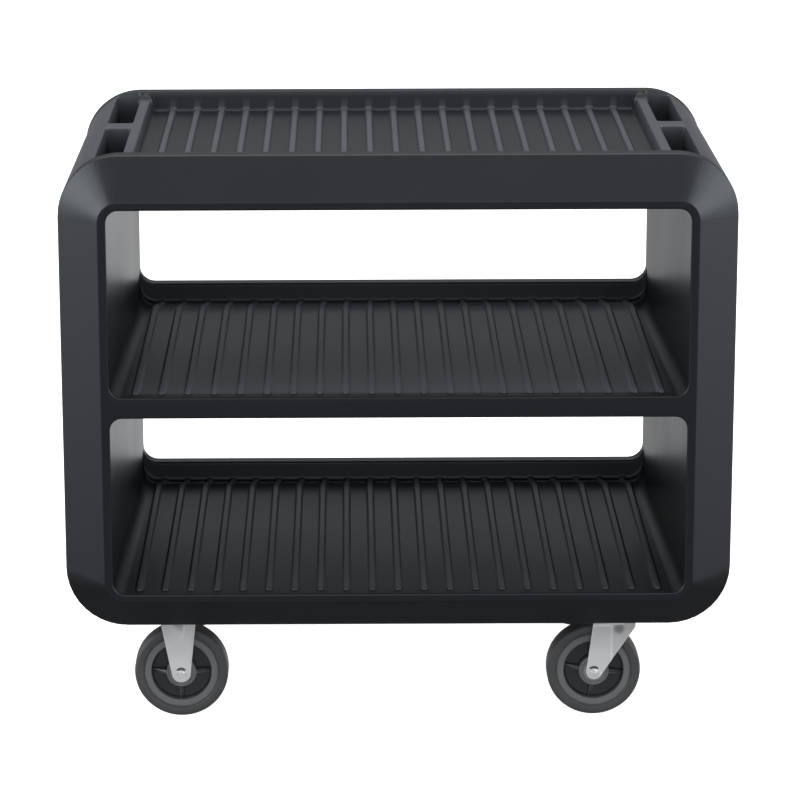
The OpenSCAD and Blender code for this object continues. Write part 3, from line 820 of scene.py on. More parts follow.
    def bay(self, floor_z, ceiling_z, floor_sheen_and_wear, rib_sheen_and_wear):
        """Rings of points down one bay, front to back, and each point's share of painted sheen, partly rubbing
        wear.
        """
        s = self.s
        mouth = self.half - s.bevel_width - s.strip
        rear = mouth - s.bay_draft
        centres = rib_centres(rear - s.opening_radius - 7 * MM, s.shelf_rib_pitch)
        flat_end = rear - s.opening_radius - 0.6 * MM
        positive = merged_lines([0.0, flat_end, *[x for x in rib_lines(centres) if x > 0]], most=0.024)
        floor_u = np.concatenate([-positive[:0:-1], positive])
        corner = np.radians(np.arange(0.0, 91.0, 10.0))
        heights = np.linspace(0.0, 1.0, 13)[1:-1]
        ceiling = np.linspace(1.0, -1.0, 25)[1:-1]
        rib_start = self.front + s.rib_inset
        rows, marks = [], []
        for y, flare, rise, low_radius, high_radius in self.bay_stations():
            travel = np.clip((y - self.front) / (self.lip_face() - self.front), 0, 1)
            half = mouth - s.bay_draft * travel + flare
            low = floor_z + rise - flare
            high = ceiling_z + flare
            room = half - low_radius - 0.3 * MM
            x = floor_u * min(1.0, room / flat_end)
            offset = np.min(np.abs(floor_u[:, None] - np.asarray(centres)), axis=1)
            nose = 6.5 * MM
            rounding = nose - np.sqrt(np.maximum(nose ** 2 - np.minimum(offset, 6.4 * MM) ** 2, 0))
            into = np.clip((y - rib_start - rounding) / (6 * MM), 0, 1)
            ramp = np.sqrt(np.maximum(1 - (1 - into) ** 2, 0))
            rib = rib_share(floor_u, centres) * ramp * np.clip(1 - rise / (12 * MM), 0, 1)
            z = low + rib * s.rib_height
            right_low_x = half - low_radius + low_radius * np.sin(corner)
            right_low_z = low + low_radius * (1 - np.cos(corner))
            span_low, span_high = low + low_radius, high - high_radius
            side_z = span_low + (span_high - span_low) * heights
            side_x = np.full_like(side_z, half)
            right_high_x = half - high_radius + high_radius * np.cos(corner)
            right_high_z = high - high_radius + high_radius * np.sin(corner)
            across = (half - high_radius) * ceiling
            right_x = np.concatenate([right_low_x, side_x, right_high_x])
            right_z = np.concatenate([right_low_z, side_z, right_high_z])
            ring_x = np.concatenate([x, right_x, across, -right_x[::-1]])
            ring_z = np.concatenate([z, right_z, np.full_like(across, high), right_z[::-1]])
            rows.append(np.stack([ring_x, np.full_like(ring_x, y), ring_z], axis=-1))
            # Painted sheen, partly rubbing wear: the floor and rib tops are made lighter, fading at the rib ends
            # and beside the side walls.
            flat = 1.0 - min(rise / (6 * MM), 1.0)
            behind = np.clip((y - rib_start) / (12 * MM), 0, 1)
            painted_light = floor_sheen_and_wear * flat * behind * np.clip((rear - np.abs(x)) / (30 * MM), 0, 1)
            rest = np.zeros(len(ring_x) - len(rib))
            marks.append(np.concatenate([painted_light + (rib_sheen_and_wear - painted_light) * rib, rest]))
        return np.array(rows), np.array(marks)

    def build(self):
        """All points, faces and painted sheen shares of the body."""
        s = self.s
        middle_floor = MOUNTS["middle_shelf_ribs"][2] - s.rib_height
        bottom_floor = MOUNTS["bottom_shelf_ribs"][2] - s.rib_height
        upper_ceiling = self.top - s.bevel_width - s.strip
        shells = [
            self.outside(),
            # The middle shelf's floor gets far more painted sheen than the bottom shelf's.
            self.bay(bottom_floor, middle_floor - s.shelf_thickness, 0.06, 0.48),
            self.bay(middle_floor, upper_ceiling, 0.86, 1.0),
        ]
        points, faces, marks, starts = [], [], [], []
        for rings, sheen_and_wear in shells:
            starts.append(len(points))
            faces += grid_faces(rings.shape[0], rings.shape[1], len(points), closed=True)
            points += rings.reshape(-1, 3).tolist()
            marks += sheen_and_wear.reshape(-1).tolist()
        for row in (0, -1):
            loops, numbers = [], []
            for start, (rings, _) in zip(starts, shells):
                count = rings.shape[1]
                first = start + (0 if row == 0 else (rings.shape[0] - 1) * count)
                loops.append([Vector(points[first + i]) for i in range(count)])
                numbers += range(first, first + count)
            faces += [[numbers[i] for i in triangle] for triangle in tessellate_polygon(loops)]
        return points, faces, marks


def turned(profile, segments=96):
    """Points and faces of a closed profile of (radius, height) turned about Z."""
    points = []
    for step in range(segments):
        angle = 2 * math.pi * step / segments
        points += [(r * math.cos(angle), r * math.sin(angle), h) for r, h in profile]
    count = len(profile)
    faces = []
    for step in range(segments):
        here, there = step * count, (step + 1) % segments * count
        for i in range(count):
            j = (i + 1) % count
            faces.append((here + i, there + i, there + j, here + j))
    return points, faces


def rounded_profile(corners, steps=4):
    """A closed profile from corners (radius, height, rounding)."""
    out = []
    count = len(corners)
    for i, (r, h, rounding) in enumerate(corners):
        here = Vector((r, h))
        if rounding <= 0:
            out.append((r, h))
            continue
        before = (Vector(corners[i - 1][:2]) - here).normalized()
        after = (Vector(corners[(i + 1) % count][:2]) - here).normalized()
        half = before.angle(after) / 2
        reach = rounding / math.tan(half)
        start, end = here + before * reach, here + after * reach
        centre = here + (before + after).normalized() * (rounding / math.sin(half))
        first = math.atan2(start.y - centre.y, start.x - centre.x)
        last = math.atan2(end.y - centre.y, end.x - centre.x)
        sweep = (last - first + math.pi) % (2 * math.pi) - math.pi
        for step in range(steps + 1):
            angle = first + sweep * step / steps
            out.append((centre.x + rounding * math.cos(angle), centre.y + rounding * math.sin(angle)))
    return out


def hex_part(flats_radius, height, bore, chamfered=(True, True), steps=6):
    """A hexagon with chamfered corners, bored or solid, from height 0 up."""
    apothem = flats_radius * math.cos(math.pi / 6)
    slope = math.tan(math.radians(28))
    outline = []
    for side in range(6):
        a, b = math.radians(60 * side), math.radians(60 * (side + 1))
        for step in range(steps):
            t = step / steps
            outline.append((
                flats_radius * (math.cos(a) * (1 - t) + math.cos(b) * t),
                flats_radius * (math.sin(a) * (1 - t) + math.sin(b) * t),
            ))
    inner = max(bore, apothem * 0.2)
    touch = apothem * 0.95
    radii = [math.hypot(x, y) for x, y in outline]
    units = [(x / r, y / r) for (x, y), r in zip(outline, radii)]
    cut = [max(0.0, (r - touch) * slope) for r in radii]
    bottom = [c if chamfered[0] else 0.0 for c in cut]
    top = [height - (c if chamfered[1] else 0.0) for c in cut]
    rings = [
        *([(r * ux, r * uy, 0.0) for ux, uy in units] for r in (inner, touch)),
        *([(x, y, z) for (x, y), z in zip(outline, level)] for level in (bottom, top)),
        *([(r * ux, r * uy, height) for ux, uy in units] for r in (touch, inner)),
    ]
    points = [p for ring in rings for p in ring]
    count = len(outline)
    faces = grid_faces(len(rings), count, closed=True)
    if bore > 0:
        last = (len(rings) - 1) * count
        faces += [(i, last + i, last + (i + 1) % count, (i + 1) % count) for i in range(count)]
    else:
        faces += [tuple(range(count)), tuple(range((len(rings) - 1) * count, len(rings) * count))]
    return points, faces


def joined(parts):
    """Several (points, faces) as one."""
    points, faces = [], []
    for some_points, some_faces in parts:
        start = len(points)
        points += list(some_points)
        faces += [tuple(start + i for i in face) for face in some_faces]
    return points, faces


def placed(part, matrix):
    """A part's points moved by a matrix."""
    points, faces = part
    return [tuple(matrix @ Vector(p)) for p in points], faces


def along_y(centre, facing=1):
    """A matrix that lays the Z axis along +Y or -Y at a centre."""
    return Matrix.Translation(centre) @ Matrix.Rotation(-math.pi / 2 * facing, 4, "X")


def middle_of(node):
    low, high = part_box(node)
    return (low + high) / 2


def gusset(inner, outer, base, top_inner, top_outer, thickness):
    """A spoke's rib along +X that stands on the web and falls away towards the rim."""
    edge = thickness * 0.3
    points = []
    stations = 9
    for i in range(stations):
        share = i / (stations - 1)
        x = inner + (outer - inner) * share
        top = top_inner + (top_outer - top_inner) * share * share * (3 - 2 * share)
        half = thickness / 2
        ring = [(half + 0.7 * MM, base - 0.5 * MM), (half, base + 1.5 * MM)]
        for angle in (0, 30, 60, 90):
            turn = math.radians(angle)
            ring.append((half - edge + edge * math.cos(turn), top - edge + edge * math.sin(turn)))
        points += [(x, -across, height) for across, height in reversed(ring)]
        points += [(x, across, height) for across, height in ring[:-1][::-1]]
    columns = len(points) // stations
    faces = grid_faces(stations, columns, closed=True)
    faces += [tuple(range(columns)), tuple(range((stations - 1) * columns, stations * columns))]
    return points, faces


def rounded_outline(x0, x1, y0, y1, radius, inset, steps=6):
    """Points round a rectangle with round corners, drawn in by an inset."""
    reach = max(radius - inset, 0.2 * MM)
    quarter = math.pi / 2
    corners = (
        (x1 - radius, y1 - radius, 0), (x0 + radius, y1 - radius, quarter),
        (x0 + radius, y0 + radius, 2 * quarter), (x1 - radius, y0 + radius, 3 * quarter),
    )
    turns = [quarter * i / steps for i in range(steps + 1)]
    return [
        (cx + reach * math.cos(start + turn), cy + reach * math.sin(start + turn))
        for cx, cy, start in corners
        for turn in turns
    ]


def flat_plate(x0, x1, y0, y1, z0, z1, radius, edge):
    """A plate with round corners and rounded edges."""
    levels = [(edge, z0), (edge * 0.3, z0 + edge * 0.3), (0.0, z0 + edge)]
    levels += [(0.0, z1 - edge), (edge * 0.3, z1 - edge * 0.3), (edge, z1)]
    rings = [[(x, y, z) for x, y in rounded_outline(x0, x1, y0, y1, radius, inset)] for inset, z in levels]
    count = len(rings[0])
    faces = grid_faces(len(rings), count, closed=True)
    faces += [tuple(range(count)), tuple(range((len(rings) - 1) * count, len(rings) * count))]
    return [p for ring in rings for p in ring], faces


def bored_disc(inner, outer, z0, z1, edge, centre):
    """A flat ring with rounded edges about an upright axis."""
    corners = ((inner, z0, edge), (outer, z0, edge), (outer, z1, edge), (inner, z1, edge))
    return placed(turned(rounded_profile(corners), 72), Matrix.Translation(centre))


class LegOutline:
    """A fork leg seen from the side: straight edges from its top down to a round end."""

    def __init__(self, corners, top, end_x, end_z, radius, clip=math.inf):
        self.end = Vector((end_x, end_z))
        self.radius = radius
        self.clip = clip
        self.sides = []
        for side, corner_x in zip((-1, 1), corners):
            corner = Vector((corner_x, top))
            away = corner - self.end
            turn = math.atan2(away.y, away.x) - side * math.acos(radius / away.length)
            touch = self.end + Vector((math.cos(turn), math.sin(turn))) * radius
            self.sides.append((side, corner, touch))

    def edge(self, side, corner, touch, z):
        """X of one edge at a height."""
        if z <= touch.y:
            drop = min(abs(z - self.end.y), self.radius)
            x = self.end.x + side * math.sqrt(self.radius ** 2 - drop ** 2)
        else:
            x = touch.x + (corner.x - touch.x) * (z - touch.y) / (corner.y - touch.y)
        return min(x, self.clip)

    def edges(self, z):
        return [self.edge(side, corner, touch, z) for side, corner, touch in self.sides]

    def inward(self, x, z):
        """Distance from the outline to a point inside it."""
        distances = [self.clip - x]
        for side, corner, touch in self.sides:
            along = (corner - touch).normalized()
            away = Vector((x, z)) - touch
            distances.append(side * (along.x * away.y - along.y * away.x))
        if z < self.end.y:
            distances.append(self.radius - (Vector((x, z)) - self.end).length)
        return max(min(distances), 0.0)


def leg_heights(outline, top, rows=24):
    """Heights down a leg, close together round its end."""
    end, radius = outline.end.y, outline.radius
    low = [end - radius * math.cos(math.radians(a)) for a in range(0, 90, 6)]
    fine = [end + 0.7 * MM * i for i in range(18)]
    return low + fine + [fine[-1] + (top - fine[-1]) * i / rows for i in range(1, rows + 1)]


def leg_rings(sizes, outline, stations, stamp):
    """Rings of points round a sheet, and each point's share of painted shade.

    A station is (y, z, lean of the outer face, height that sets the width, thickness).
    """
    edge = sizes.sheet_edge
    rings, painted_shade = [], []
    for y, z, lean, width_z, thickness in stations:
        left, right = outline.edges(width_z)
        width = right - left
        near = [edge * share * min(1.0, width / (5 * edge)) for share in (0.0, 0.08, 0.3, 0.65, 1.05)]
        middle = [left + near[-1] + (width - 2 * near[-1]) * i / 40 for i in range(1, 40)]
        across = [left + d for d in near] + middle + [right - d for d in reversed(near)]
        outer, inner, shares = [], [], []
        for x in across:
            inside = min(outline.inward(x, width_z), edge)
            drop = edge - math.sqrt(max(edge ** 2 - (edge - inside) ** 2, 0.0))
            pressed, shade_and_highlight = stamp(x, width_z)
            for points, depth in ((outer, drop + pressed), (inner, thickness - drop + pressed)):
                points.append((x, y + depth * math.cos(lean), z - depth * math.sin(lean)))
            # Painted shade on the sheet's faces; the rounded edges stay bright as a painted highlight.
            face = max(0.24 * inside / edge + shade_and_highlight, 0.0)
            shares.append(min(face + axle_shade_crescent(sizes, outline, x, width_z), 1.0))
        rings.append(outer + inner[::-1])
        painted_shade.append(shares + shares[::-1])
    return rings, painted_shade


def axle_shade_crescent(sizes, outline, x, z):
    """Painted shade: the dark crescent above an axle bolt."""
    away = Vector((x, z)) - outline.end
    angle = abs(math.atan2(away.x, away.y))
    within = min(away.length - 0.62 * sizes.axle_shade_crescent, sizes.axle_shade_crescent - away.length)
    return smooth(within / (0.6 * MM)) * smooth((1.0 - angle) / 0.3)


def smooth(value):
    value = min(max(value, 0.0), 1.0)
    return value * value * (3 - 2 * value)


def pressed_recess(sizes, centre, top, tip, half_width, lean):
    """A recess that widens from a tip up to the top of a leg, as its depth and its painted shade at each point."""
    def press(x, z):
        rise = min(max((z - tip) / (top - tip), 0.0), 1.0)
        half = half_width * rise ** 0.8 + 1e-5
        offset = abs(x - centre - lean * (z - top))
        share = smooth((half - offset) / (0.3 * half + 1.2 * MM)) * smooth(rise * 1.6)
        # The recess is darkened as painted shade.
        return sizes.stamp * share, 0.30 * share
    return press


def pressed_crease(sizes, crease, top):
    """A step straight down a swivel leg, with a painted shadow of the ball race beside it near the crown and
    painted highlights along the step and the bend.
    """
    def press(x, z):
        step = smooth((x - crease) / (2.4 * MM))
        away = math.hypot(x - crease - 12 * MM, z - top + 10 * MM)
        bend = (1.0 - step) * smooth((z - top + 8 * MM) / (3 * MM))
        # Painted shadow of the race near the crown, a little painted shade past the step, and painted highlight
        # along the step and the bend.
        painted_highlight = max(smooth(1.0 - abs(x - crease) / (2.2 * MM)), bend)
        shade_and_highlight = 0.42 * smooth((12 * MM - away) / (8 * MM)) + 0.07 * step - 0.24 * painted_highlight
        return sizes.crease * step * smooth((top - z) / (4 * MM)), shade_and_highlight
    return press


def closed_sheet(rings):
    count = len(rings[0])
    return [p for ring in rings for p in ring], grid_faces(len(rings), count, closed=True)


def mirrored_y(part):
    points, faces = part
    return [(x, -y, z) for x, y, z in points], faces


def rigid_fork(sizes, end):
    """Two legs that spread into a mounting plate."""
    low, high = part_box("rigid_fork_" + end)
    axle = JOINTS["wheel_spin_rigid_" + end]["pos_m"]
    under = high.z - sizes.plate
    outline = LegOutline((-sizes.rigid_left, sizes.rigid_right), under, 0.0, axle[2], sizes.rigid_end)
    middle = (sizes.rigid_right - sizes.rigid_left) / 2
    stamp = pressed_recess(sizes, middle - 2 * MM, under, under - 42 * MM, 16.5 * MM, -0.2)
    stations = []
    heights = leg_heights(outline, under - sizes.flare)
    heights += [under - sizes.flare * (1 - share) for share in (0.35, 0.6, 0.8, 0.92, 1.0)]
    for z in heights:
        above = max(z - (under - sizes.flare), 0.0)
        flare = sizes.flare - math.sqrt(sizes.flare ** 2 - above ** 2)
        stations.append((-sizes.fork_half - flare, z, 0.0, min(z, under), sizes.sheet + 0.6 * flare))
    rings, painted_shade = leg_rings(sizes, outline, stations, stamp)
    leg = closed_sheet(rings)
    leg[1].append(tuple(range(len(leg[0]) - len(rings[0]), len(leg[0]))))
    plate = flat_plate(low.x, high.x, low.y, high.y, under, high.z, sizes.plate_corner, 0.8 * MM)
    across = Matrix.Translation((axle[0], axle[1], 0.0))
    shares = [0.0] * len(plate[0]) + 2 * [share for ring in painted_shade for share in ring]
    return (*joined([plate, placed(leg, across), placed(mirrored_y(leg), across)]), shares)


def swivel_fork(sizes, end):
    """One sheet bent into two legs and a crown, bored for the kingpin, with the lower ball race."""
    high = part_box("swivel_fork_" + end)[1]
    pin = JOINTS["swivel_turn_" + end]["pos_m"]
    axle = JOINTS["wheel_spin_swivel_" + end]["pos_m"]
    top = high.z - 0.3 * MM
    start = top - sizes.bend
    outline = LegOutline(
        (-sizes.swivel_left, sizes.swivel_right), top, axle[0] - pin[0], axle[2],
        sizes.swivel_end, sizes.swivel_clip,
    )
    stamp = pressed_crease(sizes, -5 * MM, top)
    stations = [(-sizes.fork_half, z, 0.0, z, sizes.sheet) for z in leg_heights(outline, start)]
    for angle in range(10, 91, 10):
        turn = math.radians(angle)
        y = -sizes.fork_half + sizes.bend * (1 - math.cos(turn))
        z = start + sizes.bend * math.sin(turn)
        thickness = sizes.sheet + (sizes.crown - sizes.sheet) * angle / 90
        stations.append((y, z, turn, min(z, top), thickness))
    rings, painted_shade = leg_rings(sizes, outline, stations, stamp)
    front = closed_sheet(rings)
    count = len(rings[0])
    points, faces = joined([front, mirrored_y(front)])
    here = len(front[0]) - count
    there = 2 * len(front[0]) - count
    half = count // 2
    rim = 4
    spans = ((rim, half - 1 - rim), (half + rim, count - 1 - rim))
    for i in range(count):
        if not any(first <= i < last for first, last in spans):
            j = (i + 1) % count
            faces.append((here + i, here + j, there + j, there + i))
    bore = sizes.kingpin / 2 + 0.1 * MM
    rounds = []
    for first, last in spans:
        loop = [here + i for i in range(first, last + 1)] + [there + i for i in range(last, first - 1, -1)]
        level = points[here + (first + last) // 2][2]
        circle = list(range(len(points), len(points) + 48))
        points += [
            (bore * math.cos(2 * math.pi * i / 48), bore * math.sin(2 * math.pi * i / 48), level)
            for i in range(48)
        ]
        numbers = loop + circle
        polygons = [[Vector(points[n]) for n in part] for part in (loop, circle)]
        faces += [tuple(numbers[n] for n in triangle) for triangle in tessellate_polygon(polygons)]
        rounds.append(circle)
    for i in range(48):
        j = (i + 1) % 48
        faces.append((rounds[0][i], rounds[0][j], rounds[1][j], rounds[1][i]))
    race = bored_disc(sizes.race_inner, sizes.race_outer, low_race(high.z), high.z, 0.6 * MM, (0, 0, 0))
    shares = 2 * [share for ring in painted_shade for share in ring]
    whole = joined([(points, faces), race])
    shares += [0.0] * (len(whole[0]) - len(shares))
    return (*placed(whole, Matrix.Translation((pin[0], pin[1], 0.0))), shares)


def low_race(top):
    return top - 3.4 * MM


def swivel_plate(sizes, end):
    """A mounting plate with the upper ball race pressed down out of it."""
    low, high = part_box("swivel_plate_" + end)
    centre = (low + high) / 2
    under = high.z - sizes.plate
    plate = flat_plate(low.x, high.x, low.y, high.y, under, high.z, sizes.plate_corner, 0.8 * MM)
    corners = (
        (sizes.race_inner, low.z, 0.8 * MM), (sizes.race_outer, low.z, 1.6 * MM),
        (sizes.race_outer, under + 1 * MM, 0.0), (sizes.race_inner, under + 1 * MM, 0.0),
    )
    ring = placed(turned(rounded_profile(corners), 96), Matrix.Translation((centre.x, centre.y, 0.0)))
    return joined([plate, ring])


def wheel_core(sizes, kind, end):
    """A hub, web and rim turned in one, with four spokes on each side."""
    node = "wheel_core_%s_%s" % (kind, end)
    low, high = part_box(node)
    centre = (low + high) / 2
    outer = (high.z - low.z) / 2
    hub_half = (high.y - low.y) / 2
    tyre_low, tyre_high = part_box(node.replace("wheel_core", "tyre"))
    rim_half = (tyre_high.y - tyre_low.y) / 2 - 2 * MM
    web, rim, hub = sizes.web, sizes.rim, sizes.hub
    bore = sizes.bush + FIT
    groove = hub_half - 1 * MM
    side = [
        (bore, hub_half, 0.3 * MM), (hub - 6.2 * MM, hub_half, 0.4 * MM),
        (hub - 5.4 * MM, groove, 0.3 * MM), (hub - 3.4 * MM, groove, 0.3 * MM),
        (hub - 2.8 * MM, hub_half, 0.4 * MM), (hub - 0.4 * MM, hub_half, 0.8 * MM),
        (hub, web, 2.0 * MM), (rim - 1.6 * MM, web, 2.5 * MM), (rim, rim_half, 1.2 * MM),
        (outer - 1.0 * MM, rim_half, 0.5 * MM), (outer, rim_half - 1.2 * MM, 0.3 * MM),
    ]
    profile = [(r, -h, rounding) for r, h, rounding in side] + side[::-1]
    parts = [turned(rounded_profile(profile), 128)]
    spoke = gusset(hub - 2 * MM, rim + 0.5 * MM, web, hub_half - 1.5 * MM, web + 6.5 * MM, sizes.spoke)
    turn = sizes.swivel_turn if kind == "swivel" else 0.0
    for facing in (0.0, math.pi):
        for quarter in range(4):
            angle = quarter * math.pi / 2 + (-turn if facing else turn)
            parts.append(placed(spoke, Matrix.Rotation(facing, 4, "X") @ Matrix.Rotation(angle, 4, "Z")))
    return placed(joined(parts), along_y(centre))


def wheel_tyre(sizes, kind, end):
    """A tyre with a bead line against the rim and round shoulders."""
    low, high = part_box("tyre_%s_%s" % (kind, end))
    outer = (high.z - low.z) / 2
    half = (high.y - low.y) / 2
    inner = outer - sizes.tyre
    side = [
        (inner - 0.1 * MM, half - 2.2 * MM, 0.2 * MM), (inner + 1.3 * MM, half - 2.0 * MM, 0.4 * MM),
        (inner + 2.4 * MM, half - 0.4 * MM, 0.8 * MM), (inner + 6 * MM, half, 2 * MM),
        (outer, half, 6.4 * MM),
    ]
    profile = [(r, -h, rounding) for r, h, rounding in side] + side[::-1]
    return placed(turned(rounded_profile(profile, 6), 160), along_y((low + high) / 2))


def facing_side(kind, end):
    """1 where the axle nut is at the back of its wheel, -1 where it is at the front."""
    name = "%s_%s" % (kind, end)
    return 1 if middle_of("axle_nut_" + name).y > middle_of("axle_sleeve_" + name).y else -1


def rod(radius, z0, z1, edge=0.5 * MM):
    """A solid pin with rounded ends."""
    corners = ((0.02 * MM, z0, 0.0), (radius, z0, edge), (radius, z1, edge), (0.02 * MM, z1, 0.0))
    return turned(rounded_profile(corners), 48)


class CART_OT_body(bpy.types.Operator):
    """Moulds the body with its tray, pockets, shelves and ribs"""

    bl_idname = "cart.body"
    bl_label = "Body"

    def execute(self, context):
        points, faces, marks = Body(context.scene.cart_body_sizes).build()
        # The marks are the body's painted sheen, partly rubbing wear.
        make_piece(context, "moulded_body", points, faces, "cart_body", sharp=50.0, marks=marks)
        return {"FINISHED"}


class CART_OT_forks(bpy.types.Operator):
    """Bends the two rigid and two swivel forks"""

    bl_idname = "cart.forks"
    bl_label = "Forks"

    def execute(self, context):
        sizes = context.scene.cart_caster_sizes
        for end in ENDS:
            for kind, build in (("rigid", rigid_fork), ("swivel", swivel_fork)):
                points, faces, shares = build(sizes, end)
                node = "%s_fork_%s" % (kind, end)
                # The shares are the forks' painted shade and highlights.
                make_piece(context, "pressed_" + node, points, faces, node, marks=shares)
        return {"FINISHED"}


class CART_OT_swivel_heads(bpy.types.Operator):
    """Makes the swivel casters' mounting plates, kingpins and kingpin nuts"""

    bl_idname = "cart.swivel_heads"
    bl_label = "Swivel heads"

    def execute(self, context):
        sizes = context.scene.cart_caster_sizes
        radius = sizes.kingpin / 2
        for end in ENDS:
            make_piece(context, "race_plate_" + end, *swivel_plate(sizes, end), "swivel_plate_" + end)
            low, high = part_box("kingpin_" + end)
            centre = (low + high) / 2
            here = Matrix.Translation((centre.x, centre.y, 0.0))
            pin = placed(rod(radius, low.z, high.z, 0.8 * MM), here)
            make_piece(context, "turned_kingpin_" + end, *pin, "kingpin_" + end)
            low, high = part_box("kingpin_nut_" + end)
            nut = hex_part((high.x - low.x) / 2, high.z - low.z, radius + FIT)
            here = Matrix.Translation((centre.x, centre.y, low.z))
            make_piece(context, "hex_kingpin_nut_" + end, *placed(nut, here), "kingpin_nut_" + end)
        return {"FINISHED"}


class CART_OT_wheels(bpy.types.Operator):
    """Moulds the four wheel cores and their tyres"""

    bl_idname = "cart.wheels"
    bl_label = "Wheels"

    def execute(self, context):
        sizes = context.scene.cart_caster_sizes
        for kind, end in WHEELS:
            name = "%s_%s" % (kind, end)
            points, faces = wheel_core(sizes, kind, end)
            # The core's marks are painted light on its outer faces and painted shade on its recessed web.
            make_piece(context, "spoked_core_" + name, points, faces, "wheel_core_" + name,
                       marks=self.painted_light(points, name))
            make_piece(context, "round_tyre_" + name, *wheel_tyre(sizes, kind, end), "tyre_" + name)
        return {"FINISHED"}

    def painted_light(self, points, name):
        """Painted light on the core: its recessed web is left dark as painted shade and its outer faces are
        painted light.
        """
        middle = middle_of("wheel_core_" + name).y
        return [smooth((abs(p[1] - middle) - 7 * MM) / (8 * MM)) for p in points]


class CART_OT_axles(bpy.types.Operator):
    """Makes the axle bolts, nuts, sleeves and hub bushes"""

    bl_idname = "cart.axles"
    bl_label = "Axles"

    def execute(self, context):
        sizes = context.scene.cart_caster_sizes
        for kind, end in WHEELS:
            name = "%s_%s" % (kind, end)
            centre = Vector(JOINTS["wheel_spin_" + name]["pos_m"])
            lay = along_y(centre, facing_side(kind, end))
            self.add_bolt(context, sizes, name, lay)
            self.add_nut(context, sizes, name, lay)
            self.add_sleeve(context, sizes, name, lay)
            self.add_bushes(context, sizes, name, lay)
        return {"FINISHED"}

    def add_bolt(self, context, sizes, name, lay):
        low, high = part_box("axle_bolt_" + name)
        face = sizes.fork_half
        head = placed(
            hex_part(sizes.axle_head, sizes.axle_head_height, 0.0, (True, False)),
            Matrix.Translation((0, 0, -face - sizes.axle_head_height)),
        )
        end = (high.y - low.y) - face - sizes.axle_head_height
        shank = rod(sizes.axle / 2, -face - 1 * MM, end, 1 * MM)
        bolt = placed(joined([head, shank]), lay)
        make_piece(context, "hex_axle_bolt_" + name, *bolt, "axle_bolt_" + name)

    def add_nut(self, context, sizes, name, lay):
        low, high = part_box("axle_nut_" + name)
        height = high.y - low.y
        bore = sizes.axle / 2 + FIT
        nut = hex_part(sizes.axle_head, height * 0.72, bore, (False, True))
        collar = bored_disc(bore, sizes.axle_head * 0.80, height * 0.5, height, 1.2 * MM, (0, 0, 0))
        nut = placed(joined([nut, collar]), Matrix.Translation((0, 0, sizes.fork_half)))
        make_piece(context, "collared_axle_nut_" + name, *placed(nut, lay), "axle_nut_" + name)

    def add_sleeve(self, context, sizes, name, lay):
        half = sizes.fork_half - sizes.sheet
        sleeve = bored_disc(sizes.axle / 2 + FIT, sizes.sleeve, -half, half, 0.4 * MM, (0, 0, 0))
        make_piece(context, "turned_sleeve_" + name, *placed(sleeve, lay), "axle_sleeve_" + name)

    def add_bushes(self, context, sizes, name, lay):
        low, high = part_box("hub_bushes_" + name)
        half = (high.y - low.y) / 2
        flange = (high.z - low.z) / 2
        inner = sizes.sleeve + 0.06 * MM
        edge = 0.3 * MM
        seat = half - sizes.bush_flange
        corners = (
            (inner, half, edge), (flange, half, 0.5 * MM), (flange, seat, edge), (sizes.bush, seat, 0.0),
            (sizes.bush, seat - 16 * MM, edge), (inner, seat - 16 * MM, edge),
        )
        bush = turned(rounded_profile(corners), 64)
        pair = joined([bush, placed(bush, Matrix.Rotation(math.pi, 4, "X"))])
        make_piece(context, "flanged_bushes_" + name, *placed(pair, lay), "hub_bushes_" + name)


class CART_OT_fixings(bpy.types.Operator):
    """Makes the bolts and washers that hold the casters on, and the vent plug"""

    bl_idname = "cart.fixings"
    bl_label = "Fixings"

    def execute(self, context):
        sizes = context.scene.cart_caster_sizes
        low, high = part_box("caster_bolts")
        radius = sizes.bolt / 2
        head = hex_part(sizes.bolt_head, sizes.bolt_head_height, 0.0, (True, False))
        shank = rod(radius, sizes.bolt_head_height - 1 * MM, high.z - low.z, 0.8 * MM)
        bolt = joined([head, shank])
        z0, z1 = (corner.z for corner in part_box("caster_washers"))
        washer = bored_disc(radius + FIT, sizes.bolt, z0, z1, 0.4 * MM, (0, 0, 0))
        bolts, washers = [], []
        for x, y in self.places(sizes):
            bolts.append(placed(bolt, Matrix.Translation((x, y, low.z))))
            washers.append(placed(washer, Matrix.Translation((x, y, 0.0))))
        make_piece(context, "hex_caster_bolts", *joined(bolts), "caster_bolts")
        make_piece(context, "flat_caster_washers", *joined(washers), "caster_washers")
        self.add_plug(context)
        return {"FINISHED"}

    def places(self, sizes):
        """Plan positions of all sixteen fixing bolts."""
        for plate in ("rigid_fork_", "swivel_plate_"):
            for end in ENDS:
                centre = middle_of(plate + end)
                for sx in (-0.5, 0.5):
                    for sy in (-0.5, 0.5):
                        yield centre.x + sx * sizes.bolt_pitch_x, centre.y + sy * sizes.bolt_pitch_y

    def add_plug(self, context):
        low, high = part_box("vent_plug")
        flange = (high.x - low.x) / 2
        stem = flange * 0.595
        seat, inner = BODY_LOW.z, stem - 2 * MM
        corners = (
            (0.02 * MM, low.z, 0.0), (flange, low.z, EDGE), (flange, seat, 0.2 * MM),
            (stem, seat, 0.0), (stem, high.z, EDGE), (inner, high.z, 0.5 * MM),
            (inner, seat + 1 * MM, 0.0), (0.02 * MM, seat + 1 * MM, 0.0),
        )
        centre = (low + high) / 2
        plug = placed(turned(rounded_profile(corners), 64), Matrix.Translation((centre.x, centre.y, 0.0)))
        make_piece(context, "cupped_vent_plug", *plug, "vent_plug")


class CART_OT_cad_parts(bpy.types.Operator):
    """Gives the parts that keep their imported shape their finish"""

    bl_idname = "cart.cad_parts"
    bl_label = "Small parts"

    def execute(self, context):
        materials = finishes(context)
        for node, piece in frame["nodes"].items():
            piece.data.materials.clear()
            piece.data.materials.append(materials[SLOTS[node]])
        return {"FINISHED"}


